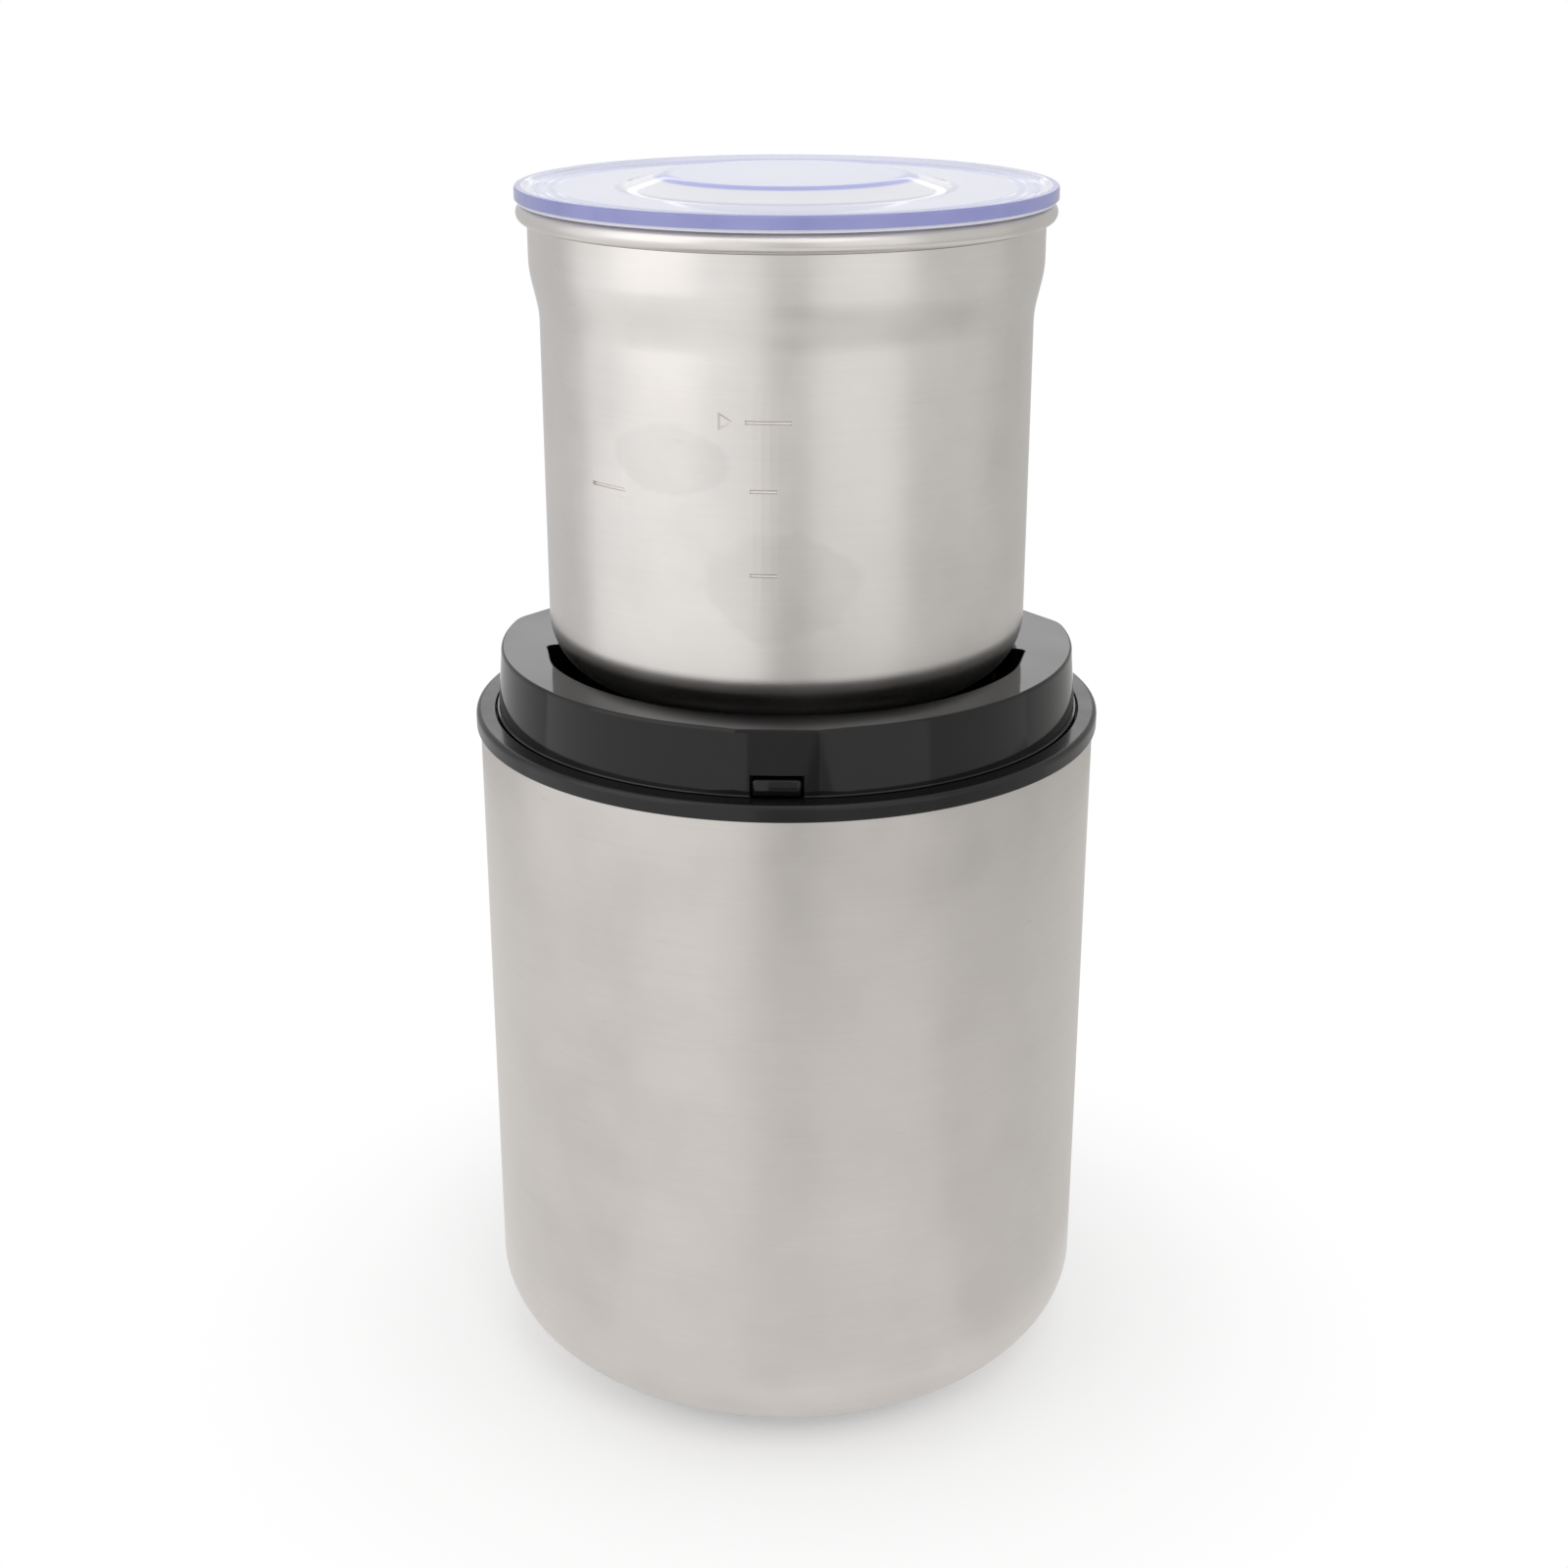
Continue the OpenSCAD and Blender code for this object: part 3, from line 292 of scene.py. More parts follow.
# %% [markdown]
# ## Clear plastic with a violet tint
# The lid is moulded from clear styrene plastic, IOR 1.57, with a violet tint. Seen through its
# thin top it is nearly white, and along the thick band, where the eye looks through much more of it,
# the violet shows. So the band gets a deeper colour than the top, and lets less than a third of the
# light through. So does the top, which the photograph shows whiter than a fully clear one over a dark
# cup would be. A ramp from the axis out, over the violet tint, paints shade at the pad's upper edge,
# at its foot and at the moulded rings, and paints a highlight on the pad's slope.

# %% Clear plastic
lid_face = finish("styrene_clear_top", ("EEEEF6", "F8F8FC"), (0.03, 0.05), blotch=30, grain=6,
                  depth=0.002, sockets={"IOR": 1.57, "Transmission Weight": 0.25})
tree = lid_face.node_tree
place = add(tree, "ShaderNodeTexCoord").outputs["Object"]
flat = add(tree, "ShaderNodeVectorMath", {0: place, 1: (1, 1, 0)}, operation="MULTIPLY")
out = add(tree, "ShaderNodeVectorMath", {0: flat}, operation="LENGTH").outputs["Value"]
share = maths(tree, "DIVIDE", out, lid_r)
violet_tint_and_painted_shading = add(tree, "ShaderNodeValToRGB", {"Fac": share})
ramp = violet_tint_and_painted_shading.color_ramp
ramp.elements[0].color = colour("E6EAFA")
ramp.elements[1].color = colour("FAFAFF")
# The darker stops are painted shade at the pad's upper edge, at its foot and at the moulded rings; the
# white stops from 23.1 to 27.6 mm are a painted highlight on the pad's slope.
for r, shade in [(19.6, "DFE4FA"), (20.8, "A9B0EC"), (22.4, "B4BAF0"), (23.1, "FFFFFF"), (27.6, "FFFFFF"),
                 (28.9, "C6C9E2"), (29.8, "EAECFA"), (39.5, "E6E9FA"), (40.4, "C6CBF0"), (41.4, "EAEDFF"),
                 (43.0, "CCD1F6"), (44.2, "F6F8FF")]:
    ramp.elements.new(r * MM / lid_r).color = colour(shade)
shaded(tree, violet_tint_and_painted_shading)
lid_band = finish("styrene_clear_band", ("8B8FC8", "A3A5DC"), (0.12, 0.22), blotch=9, grain=3,
                  depth=0.004, sockets={"IOR": 1.57, "Transmission Weight": 0.3})
print("made", lid_face.name, "and", lid_band.name)

# %% [markdown]
# ## Materials on the CAD nodes
# The pieces inside the body have the right shape already, so they keep their CAD meshes and only
# get their finish. Each body's nodes are listed under the material that the real piece has.

# %% Materials on the CAD nodes
worn_by = {
    laminated: ["stator_core", "rotor_core", "upper_bracket", "lower_bracket"],
    enamelled: ["field_coils", "rotor_windings", "commutator"],
    bronze: ["upper_bush", "lower_bush", "brush_holders", "spindle_bush"],
    graphite: ["carbon_brushes"],
    plated: ["motor_bolts", "damper_screws", "brush_springs", "switch_screws", "collar_screws",
             "motor_shaft", "bush_nut", "blade_spindle", "blade_washer", "blade_nut", "base_screws"],
    ground: ["grinding_blade"],
    rubber: ["motor_dampers", "shaft_seal", "cord_grommet", "rubber_feet"],
    silicone: ["bush_gasket"],
    frame_plastic: ["inner_frame"],
    phenolic: ["switch_body"],
    plunger_red: ["switch_plunger"],
    wire_pvc: ["leads"],
    cream_plastic: ["terminal_block", "thermal_cutout"],
    fan_nylon: ["cooling_fan"],
    coupling_nylon: ["drive_coupling", "driven_coupling"],
    satin_abs: ["trim_ring", "base_plate", "cup_base"],
    gloss_abs: ["collar", "interlock_tab"],
    steel: ["body_shell"],
    cup_steel: ["cup_bowl"],
    lid_band: ["storage_lid"],
}
for material, names in worn_by.items():
    for name in names:
        for slot in nodes[name].material_slots:
            slot.material = material
print(sum(len(names) for names in worn_by.values()), "nodes have a finish")

# %% [markdown]
# ## Helpers for meshes
# Most outer pieces were turned or pressed round one axis, so a profile that is spun round Z makes
# them. eased rounds the profile's corners, because a mould or a press leaves no sharp edge, and a
# rounded edge catches the light.

# %% Profile helper
SIDES = 192


def eased(corners, steps=5):
    points = []
    for i, (r, z, soft) in enumerate(corners):
        corner = Vector((r, z))
        if not soft:
            points.append((r, z))
            continue
        before = Vector(corners[i - 1][:2]) - corner
        after = Vector(corners[(i + 1) % len(corners)][:2]) - corner
        start = corner + before.normalized() * min(soft, 0.4 * before.length)
        end = corner + after.normalized() * min(soft, 0.4 * after.length)
        points.append(tuple(start + before.normalized() * 0.1 * soft))
        for k in range(steps + 1):
            t = k / steps
            point = start * (1 - t) ** 2 + corner * 2 * t * (1 - t) + end * t ** 2
            points.append((point.x, point.y))
        points.append(tuple(end + after.normalized() * 0.1 * soft))
    return points


def turned(name, points, sides=SIDES):
    vertices = []
    rows = []
    for r, z in points:
        if r < 1e-7:
            rows.append([len(vertices)] * sides)
            vertices.append((0, 0, z))
            continue
        rows.append([len(vertices) + k for k in range(sides)])
        turn = [2 * math.pi * k / sides for k in range(sides)]
        vertices += [(r * math.cos(a), r * math.sin(a), z) for a in turn]
    faces = []
    for i, row in enumerate(rows):
        ahead = rows[(i + 1) % len(rows)]
        for k in range(sides):
            m = (k + 1) % sides
            face = list(dict.fromkeys([row[k], row[m], ahead[m], ahead[k]]))
            if len(face) > 2:
                faces.append(face)
    mesh = bpy.data.meshes.new(name)
    mesh.from_pydata(vertices, [], faces)
    return mesh


print("profiles are spun in", SIDES, "steps")

# %% [markdown]
# ## Helpers for pieces
# sealed merges the points of a seam or pole and turns all faces outwards. piece shades a mesh, keeps
# edges sharp above the crease angle, and puts it on its body in place of the CAD nodes. softened
# bevels the edges of a copy of a CAD mesh.

# %% Piece helpers
def sealed(mesh, gap=1e-6):
    work = bmesh.new()
    work.from_mesh(mesh)
    bmesh.ops.remove_doubles(work, verts=work.verts, dist=gap)
    bmesh.ops.recalc_face_normals(work, faces=work.faces)
    work.to_mesh(mesh)
    work.free()


def piece(name, mesh, body, materials, replaced=(), crease=32, outward=True):
    if outward:
        sealed(mesh)
    mesh.shade_smooth()
    mesh.set_sharp_from_angle(angle=math.radians(crease))
    for material in materials:
        if material.name not in mesh.materials:
            mesh.materials.append(material)
    made = placed(name, mesh)
    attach(made, body)
    if replaced:
        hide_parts(*replaced)
    print(name, "has", len(mesh.polygons), "faces on", body)
    return made


def softened(node, width, steps=3, crease=30):
    mesh = nodes[node].data.copy()
    mesh.materials.clear()
    work = bmesh.new()
    work.from_mesh(mesh)
    bmesh.ops.remove_doubles(work, verts=work.verts, dist=3e-6)
    bmesh.ops.dissolve_limit(work, angle_limit=math.radians(0.6), verts=work.verts, edges=work.edges)
    bmesh.ops.recalc_face_normals(work, faces=work.faces)
    edges = [e for e in work.edges if e.is_manifold and e.calc_face_angle(0) > math.radians(crease)]
    bmesh.ops.bevel(work, geom=edges, offset=width, segments=steps, profile=0.5, affect="EDGES",
                    clamp_overlap=True)
    work.to_mesh(mesh)
    work.free()
    return mesh


# %% [markdown]
# ## Helpers for Geometry Nodes
# A tree is built in the script with named inputs. grown sets them on a modifier by the socket's
# identifier, lets Blender work the tree out once and keeps the result as a plain mesh. moved adds a
# node that moves, turns or scales a shape.

# %% Geometry Nodes helpers
def plan(name, sizes):
    tree = bpy.data.node_groups.new(name, "GeometryNodeTree")
    tree.interface.new_socket("Geometry", in_out="OUTPUT", socket_type="NodeSocketGeometry")
    for label in sizes:
        tree.interface.new_socket(label, in_out="INPUT", socket_type="NodeSocketFloat")
    return tree, add(tree, "NodeGroupInput").outputs


def grown(tree, sizes, result, material):
    real = add(tree, "GeometryNodeRealizeInstances", {0: result})
    worn = add(tree, "GeometryNodeSetMaterial", {"Geometry": real, "Material": material})
    add(tree, "NodeGroupOutput", {0: worn})
    holder = placed(tree.name, bpy.data.meshes.new(tree.name))
    modifier = holder.modifiers.new("plan", "NODES")
    modifier.node_group = tree
    for item in tree.interface.items_tree:
        if item.item_type == "SOCKET" and item.in_out == "INPUT":
            modifier[item.identifier] = sizes[item.name]
    bpy.context.view_layer.update()
    evaluated = holder.evaluated_get(bpy.context.evaluated_depsgraph_get())
    mesh = bpy.data.meshes.new_from_object(evaluated)
    bpy.data.objects.remove(holder)
    return mesh


def moved(tree, shape, **inputs):
    return add(tree, "GeometryNodeTransform", {"Geometry": shape, **inputs})


print("Geometry Nodes helpers ready")

# %% [markdown]
# ## Steel sleeve
# The body is one drawn steel sleeve: straight up to the trim ring, and rounded in at the bottom to
# a lip. Its shape follows a rule, a straight wall on a quarter of an ellipse, so Geometry Nodes make
# it: a flat grid is rolled up, its columns are angles, and its rows run up the outside and down the
# inside. A Boolean cuts the hole for the cord inlet at the rear.

# %% Steel sleeve
SLEEVE_ROWS = 44
inlet_level = 32 * MM
sleeve_sizes = {"Radius": body_r, "Wall": shell_wall, "Round width": round_w, "Round height": round_h,
                "Round level": round_level, "Mouth radius": mouth_r, "Top": shell_top,
                "Hole radius": 5.1 * MM, "Hole level": inlet_level}
tree, size = plan("steel_sleeve_plan", sleeve_sizes)
grid = add(tree, "GeometryNodeMeshGrid", {"Size X": 1.0, "Size Y": 1.0, "Vertices X": SIDES + 1,
                                          "Vertices Y": 2 * SLEEVE_ROWS + 1})
spot = add(tree, "ShaderNodeSeparateXYZ", {0: add(tree, "GeometryNodeInputPosition")})
angle = maths(tree, "MULTIPLY_ADD", spot.outputs["X"], 2 * math.pi, math.pi)
row = maths(tree, "MULTIPLY_ADD", spot.outputs["Y"], 2.0 * SLEEVE_ROWS, SLEEVE_ROWS + 0.0)
past_lip = maths(tree, "GREATER_THAN", row, SLEEVE_ROWS - 0.5)
closing = maths(tree, "GREATER_THAN", row, 2 * SLEEVE_ROWS - 0.5)
inside = maths(tree, "SUBTRACT", past_lip, closing)
down = maths(tree, "SUBTRACT", 2.0 * SLEEVE_ROWS - 1, row)
climb = maths(tree, "MINIMUM", row, down)
climb = maths(tree, "MAXIMUM", climb, 0.0)
share = maths(tree, "DIVIDE", climb, (SLEEVE_ROWS - 1) / 2)
wall = maths(tree, "MULTIPLY", inside, size["Wall"])
wide = maths(tree, "SUBTRACT", size["Round width"], wall)
tall = maths(tree, "SUBTRACT", size["Round height"], wall)
centre = maths(tree, "SUBTRACT", size["Radius"], size["Round width"])
reach = maths(tree, "SUBTRACT", size["Mouth radius"], centre)
slope = maths(tree, "DIVIDE", reach, wide)
full = maths(tree, "ARCCOSINE", slope)
left = maths(tree, "SUBTRACT", 1.0, share)
left = maths(tree, "MAXIMUM", left, 0.0)
turn = maths(tree, "MULTIPLY", full, left)
across = maths(tree, "COSINE", turn)
radius = maths(tree, "MULTIPLY_ADD", wide, across, centre)
dip = maths(tree, "SINE", turn)
dip = maths(tree, "MULTIPLY", dip, tall)
base = maths(tree, "SUBTRACT", size["Round level"], dip)
above = maths(tree, "SUBTRACT", share, 1.0)
above = maths(tree, "MAXIMUM", above, 0.0)
straight = maths(tree, "SUBTRACT", size["Top"], size["Round level"])
height = maths(tree, "MULTIPLY_ADD", above, straight, base)
ahead = maths(tree, "COSINE", angle)
aside = maths(tree, "SINE", angle)
along_x = maths(tree, "MULTIPLY", radius, ahead)
along_y = maths(tree, "MULTIPLY", radius, aside)
rolled = add(tree, "ShaderNodeCombineXYZ", {0: along_x, 1: along_y, 2: height})
sleeve = add(tree, "GeometryNodeSetPosition", {"Geometry": grid, "Position": rolled})
sleeve = add(tree, "GeometryNodeMergeByDistance", {"Geometry": sleeve, "Distance": 1e-6})
drill = add(tree, "GeometryNodeMeshCylinder",
            {"Vertices": 48, "Radius": size["Hole radius"], "Depth": 20 * MM})
hole_at = add(tree, "ShaderNodeCombineXYZ", {1: size["Radius"], 2: size["Hole level"]})
drill = moved(tree, drill, Translation=hole_at, Rotation=(math.pi / 2, 0, 0))
cut = add(tree, "GeometryNodeMeshBoolean", {"Mesh 1": sleeve, "Mesh 2": drill}, operation="DIFFERENCE")
sleeve_mesh = grown(tree, sleeve_sizes, cut, steel)
piece("steel_sleeve", sleeve_mesh, "base", [steel], ["body_shell"])

# %% [markdown]
# ## Trim ring
# A satin black ring closes the gap between the sleeve and the collar. Only its band shows, but the
# ring has a skirt inside the sleeve and a shelf that the collar sits in, and the profile has both.

# %% Trim ring
shelf_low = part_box("trim_ring")[0].z
shelf_r = 50.0 * MM
skirt_r = 55.3 * MM
band_in_r = 53.5 * MM
trim_profile = eased([
    (shelf_r, shelf_low, 0), (skirt_r, shelf_low, 0.3 * MM), (skirt_r, shell_top, 0),
    (trim_r, shell_top, 0.25 * MM), (trim_r, trim_top, 0.9 * MM),
    (band_in_r, trim_top, 0.3 * MM), (band_in_r, shell_top, 0), (shelf_r, shell_top, 0.3 * MM)])
piece("trim_band", turned("trim_band", trim_profile), "base", [satin_abs], ["trim_ring"])

# %% [markdown]
# ## Collar
# The collar is one glossy moulding: a round flange in the trim ring, an upright wall with two flats
# at the rear and a flat nose in front, and the socket that the cup stands in. Seen from the axis,
# each height has one outer and one inner radius, so the collar is made as rows of points at those
# radii, with a small round at each edge. Booleans then cut the tab's pocket and the channel behind.

# %% Collar outlines
flange_top = 131.3 * MM
collar_r = 52 * MM
socket_r = 44.5 * MM
rear_r = 41 * MM
nose_y = 52.3 * MM
nose_half = 6.9 * MM
chord = 47 * MM
corner_r = 7 * MM
corner_turn = math.acos((chord - corner_r) / (collar_r - corner_r))
nose_end = math.atan(nose_half / nose_y)
nose_turn = nose_end + math.acos(collar_r / math.hypot(nose_half, nose_y))
slot_degrees = -13
slot_turn = math.radians(slot_degrees)
slot_end = 43.6 * MM
slot_half = 3.3 * MM
slot_soft = 1.6 * MM
draft = 0.85 * MM
foot_r = 53.0 * MM


def outer_radius(a):
    radius = collar_r
    for side in (math.radians(37.5), math.radians(142.5)):
        off = a - side
        if abs(off) < 2 * corner_turn:
            radius = min(radius, chord / max(math.cos(off), 0.2))
            for s in (-1, 1):
                limit = collar_r * math.cos(corner_turn / 2)
                radius = min(radius, limit / max(math.cos(off - s * corner_turn / 2), 0.2))
            for s in (-1, 1):
                aside = (collar_r - corner_r) * math.sin(off - s * corner_turn)
                if abs(aside) < corner_r:
                    ahead = (collar_r - corner_r) * math.cos(off - s * corner_turn)
                    radius = max(radius, ahead + math.sqrt(corner_r ** 2 - aside ** 2))
    off = abs(a + math.pi / 2)
    if off < nose_end:
        radius = nose_y / math.cos(off)
    elif off < nose_turn:
        radius = collar_r / math.cos(nose_turn - off)
    return radius


def socket_radius(a):
    off = math.atan2(math.sin(a), abs(math.cos(a))) - slot_turn
    if off < 0:
        share = min(1.0, -off / math.radians(14))
        return slot_end + (socket_r - slot_end) * share * share * (3 - 2 * share)
    if off > math.pi / 4:
        return rear_r
    along = slot_end - slot_soft
    aside = slot_half - slot_soft
    if math.tan(off) < aside / slot_end:
        return slot_end / math.cos(off)
    if math.tan(off) < slot_half / along:
        across = along * math.sin(off) - aside * math.cos(off)
        return along * math.cos(off) + aside * math.sin(off) + math.sqrt(slot_soft ** 2 - across ** 2)
    return max(rear_r, slot_half / math.sin(off))


def wall_radius(a, z):
    sunk = (collar_top - z) / (collar_top - flange_top)
    return min(outer_radius(a) + draft * sunk, foot_r)


print("nose is", round(2 * nose_half / MM, 1), "mm wide, corners turn", round(math.degrees(corner_turn), 1))

# %% [markdown]
# The angles are closest where the outline bends most: at the nose and at the two slots for the cup's
# lugs. The rows go up the outside, over the top, down into the well and round the hub of the motor's
# seal. A ring is a row with the same radius all round.

# %% Collar mesh
well_floor = 120 * MM
under_floor = 117 * MM
skirt_low = 114 * MM
collar_skirt_r = 49.6 * MM
flange_low = 128 * MM
flange_r = 53.2 * MM
hub_low = 111 * MM
hub_r = 15 * MM
seal_top = 115 * MM
seal_r = 8 * MM
coupling_r = 10.8 * MM
edge = 0.45 * MM


def ring(r, z):
    return lambda a: (r, z)


turns = {round(-180 + 1.5 * k, 3) for k in range(240)}
turns |= {round(-103 + 0.5 * k, 3) for k in range(53)}
for k in range(57):
    off = -4 + 0.15 * k
    turns |= {round(slot_degrees + off, 3), round(-180 - slot_degrees - off, 3)}
for off in (4.5, 4.54, 4.58, 4.62):
    turns |= {slot_degrees + off, -180 - slot_degrees - off}
turns |= {math.degrees(-math.pi / 2 + s * nose_end) for s in (-1, 1)}
turns = sorted({d + 360 if d < -180 else d for d in turns})
turns = [math.radians(d) for i, d in enumerate(turns) if i == 0 or d - turns[i - 1] > 0.012]
bend = [math.radians(11.25 * k) for k in range(9)]
rows = [ring(socket_r, skirt_low), ring(collar_skirt_r, skirt_low), ring(collar_skirt_r, flange_low),
        ring(flange_r - 0.2 * MM, flange_low), ring(flange_r, flange_low + 0.2 * MM),
        ring(flange_r, flange_top - 0.25 * MM), ring(flange_r - 0.1 * MM, flange_top),
        lambda a: (wall_radius(a, flange_top), flange_top),
        lambda a: (wall_radius(a, collar_top - 1.2 * edge), collar_top - 1.2 * edge)]
for u in bend:
    rows.append(lambda a, u=u: (wall_radius(a, collar_top) - edge * (1 - math.cos(u)),
                                collar_top - edge * (1 - math.sin(u))))
rows += [lambda a: (wall_radius(a, collar_top) - 1.2 * edge, collar_top),
         lambda a: (socket_radius(a) + 1.2 * edge, collar_top)]
for u in bend[::-1]:
    rows.append(lambda a, u=u: (socket_radius(a) + edge * (1 - math.cos(u)),
                                collar_top - edge * (1 - math.sin(u))))
rows += [lambda a: (socket_radius(a), collar_top - 1.2 * edge),
         lambda a: (socket_radius(a), well_floor + edge), lambda a: (socket_radius(a) - edge, well_floor),
         ring(coupling_r + 0.3 * MM, well_floor), ring(coupling_r, well_floor - 0.3 * MM),
         ring(coupling_r, seal_top), ring(seal_r, seal_top), ring(seal_r, hub_low),
         ring(hub_r, hub_low), ring(hub_r, under_floor), ring(socket_r, under_floor)]
points = []
for row in rows:
    for a in turns:
        r, z = row(a)
        points.append((r * math.cos(a), r * math.sin(a), z))
count = len(turns)
faces = []
for i in range(len(rows)):
    for k in range(count):
        m = (k + 1) % count
        n = (i + 1) % len(rows)
        faces.append((i * count + k, i * count + m, n * count + m, n * count + k))
collar_mesh = bpy.data.meshes.new("collar_moulding")
collar_mesh.from_pydata(points, [], faces)
print("collar has", len(rows), "rows of", count, "points")


# %% [markdown]
# block makes a box with rounded edges, joined puts meshes in one, and cut_from runs Booleans, which
# cut the way a mill or a mould's core does.

# %% Box and cutting helpers
def block(name, low, high, soft=0.0):
    work = bmesh.new()
    made = bmesh.ops.create_cube(work, size=1)
    size = Vector(high) - Vector(low)
    middle = (Vector(high) + Vector(low)) / 2
    bmesh.ops.transform(work, matrix=Matrix.Translation(middle) @ Matrix.Diagonal((*size, 1)),
                        verts=made["verts"])
    if soft:
        bmesh.ops.bevel(work, geom=work.edges[:], offset=soft, segments=3, profile=0.5, affect="EDGES")
    mesh = bpy.data.meshes.new(name)
    work.to_mesh(mesh)
    work.free()
    return mesh


def joined(name, meshes):
    work = bmesh.new()
    for mesh in meshes:
        work.from_mesh(mesh)
    mesh = bpy.data.meshes.new(name)
    work.to_mesh(mesh)
    work.free()
    return mesh


def cut_from(mesh, cutters, operation="DIFFERENCE"):
    holder = placed("holder", mesh)
    tools = [placed("cutter", cutter) for cutter in cutters]
    for tool in tools:
        modifier = holder.modifiers.new("cut", "BOOLEAN")
        modifier.operation = operation
        modifier.solver = "EXACT"
        modifier.object = tool
    bpy.context.view_layer.update()
    made = bpy.data.meshes.new_from_object(holder.evaluated_get(bpy.context.evaluated_depsgraph_get()))
    for thing in [holder] + tools:
        bpy.data.objects.remove(thing)
    return made


print("blocks can be joined and cut")

# %% Collar piece
sealed(collar_mesh, 2e-6)
pocket_back = -45.5 * MM
pocket = block("pocket", (-4.5 * MM, -54 * MM, 130.95 * MM), (4.5 * MM, pocket_back, 134.75 * MM))
channel = block("channel", (-3.3 * MM, -49.7 * MM, 112 * MM),
                (3.3 * MM, pocket_back, flange_top + 0.1 * MM))
post_circle_r = 33 * MM
post_r = 5 * MM
post_low = 106.5 * MM
post_top = 117.2 * MM
posts = []
for a in (45, 135, 225, 315):
    post = turned("post", eased([(0, post_low, 0), (post_r, post_low, 0.4 * MM),
                                 (post_r, post_top, 0), (0, post_top, 0)]), 32)
    post.transform(Matrix.Translation((post_circle_r * math.cos(math.radians(a)),
                                       post_circle_r * math.sin(math.radians(a)), 0)))
    posts.append(post)
collar_cut = cut_from(collar_mesh, [pocket, channel])
piece("collar_moulding", joined("collar_moulding", [collar_cut] + posts), "base",
      [gloss_abs], ["collar"], crease=14)

# %% [markdown]
# ## Interlock tab
# A small sprung tab fills the pocket in the nose. The cover that goes over the cup pushes it in, and
# its heel reaches down to the switch. It is two rounded blocks in one moulding.

# %% Interlock tab
tab_low, tab_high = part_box("interlock_tab")
tab_half = 4.05 * MM
front = block("front", (-tab_half, tab_low.y - 1.5 * MM, 131.1 * MM),
              (tab_half, tab_low.y + 4.6 * MM, 134.15 * MM), 0.6 * MM)
heel = block("heel", (-3 * MM, tab_high.y - 2 * MM, tab_low.z), (3 * MM, tab_high.y, 133.6 * MM), 0.25 * MM)
piece("interlock_button", joined("interlock_button", [front, heel]), "tab", [gloss_abs],
      ["interlock_tab"])

# %% [markdown]
# ## Cup
# The cup is deep-drawn steel: a flat bottom, a rounded edge, a straight wall that flares out near the
# top, and an edge that is rolled outwards into a bead. Its profile is spun in one piece, with the
# steel's real thickness. The flare starts 20 mm below the mouth and is 10.5 mm high.

# %% Cup
wall = 0.8 * MM
edge_r = 10.5 * MM
flat_r = cup_r - edge_r
flare = 1.6 * MM
flare_start = 20
flare_height = 10.5
bush_hole_r = 6.6 * MM
bead = 1.6 * MM
bead_z = bowl_top - bead
bead_centre = bead_out_r - bead


def cup_side(inset, steps=14):
    turn = [math.pi / 2 * i / steps for i in range(steps + 1)]
    side = [(flat_r + (edge_r - inset) * math.sin(u), bowl_low + edge_r - (edge_r - inset) * math.cos(u))
            for u in turn]
    rise = [i / steps for i in range(steps + 1)]
    side += [(cup_r - inset + flare * t * t * (3 - 2 * t),
              bowl_top - (flare_start - flare_height * t) * MM) for t in rise]
    return side


cup_profile = [(bush_hole_r, bowl_low)] + cup_side(0)
cup_profile += [(cup_r + flare, bead_z - 1.75 * MM)]
cup_profile += [(bead_centre + bead * math.sin(math.radians(a)), bead_z - bead * math.cos(math.radians(a)))
                for a in range(-40, 271, 14)]
cup_profile += cup_side(wall)[::-1] + [(bush_hole_r, bowl_low + wall)]
cup_mesh = turned("steel_cup", cup_profile)
sealed(cup_mesh)
print("cup profile has", len(cup_profile), "points")

# %% [markdown]
# ## Level marks
# Three short level lines are pressed into the cup's front, and a fourth at its left. Each follows the
# round wall, so Geometry Nodes sweep a low rounded section along an arc, and a Boolean presses it in.
# A mark is given by its start and end angle from the front in degrees, and its level in millimetres.
# A plain triangle with sloping sides points to the top line, where the real cup has a word.

# %% Level marks
marks = [(-7.2, 2.8, 191.0), (-6.2, -0.3, 179.8), (-6.3, -0.3, 165.8), (-47.1, -36.5, 178.0)]
top_level = marks[0][2] * MM
pointer_sunk = 0.36 * MM
mark_sizes = {"Cup radius": cup_r, "Mark height": 0.36 * MM, "Mark width": 0.32 * MM}
tree, size = plan("level_marks_plan", mark_sizes)
section = add(tree, "GeometryNodeCurvePrimitiveCircle", {"Resolution": 12, "Radius": 1.0})
section_size = add(tree, "ShaderNodeCombineXYZ", {0: size["Mark height"], 1: size["Mark width"], 2: 1.0})
section = moved(tree, section.outputs["Curve"], Scale=section_size)
lines = add(tree, "GeometryNodeJoinGeometry")
for start, end, level in marks:
    arc = add(tree, "GeometryNodeCurveArc",
              {"Resolution": 24, "Radius": size["Cup radius"], "Start Angle": math.radians(start - 90),
               "Sweep Angle": math.radians(end - start)})
    arc = moved(tree, arc.outputs["Curve"], Translation=(0, 0, level * MM))
    swept = add(tree, "GeometryNodeCurveToMesh",
                {"Curve": arc, "Profile Curve": section, "Fill Caps": True})
    tree.links.new(swept.outputs[0], lines.inputs[0])
pointer = add(tree, "GeometryNodeMeshCone",
              {"Vertices": 3, "Radius Top": 2.7 * MM, "Radius Bottom": 1.1 * MM, "Depth": 0.8 * MM})
pointer = moved(tree, pointer.outputs["Mesh"], Rotation=(math.pi / 2, 0, 0))
out = maths(tree, "SUBTRACT", size["Cup radius"], pointer_sunk)
out = maths(tree, "MULTIPLY", out, -1.0)
pointer_at = add(tree, "ShaderNodeCombineXYZ", {1: out, 2: top_level})
pointer = moved(tree, pointer, Translation=pointer_at)
pointer = moved(tree, pointer, Rotation=(0, 0, math.radians(-12)))
tree.links.new(pointer.outputs[0], lines.inputs[0])
mark_mesh = grown(tree, mark_sizes, lines, cup_steel)
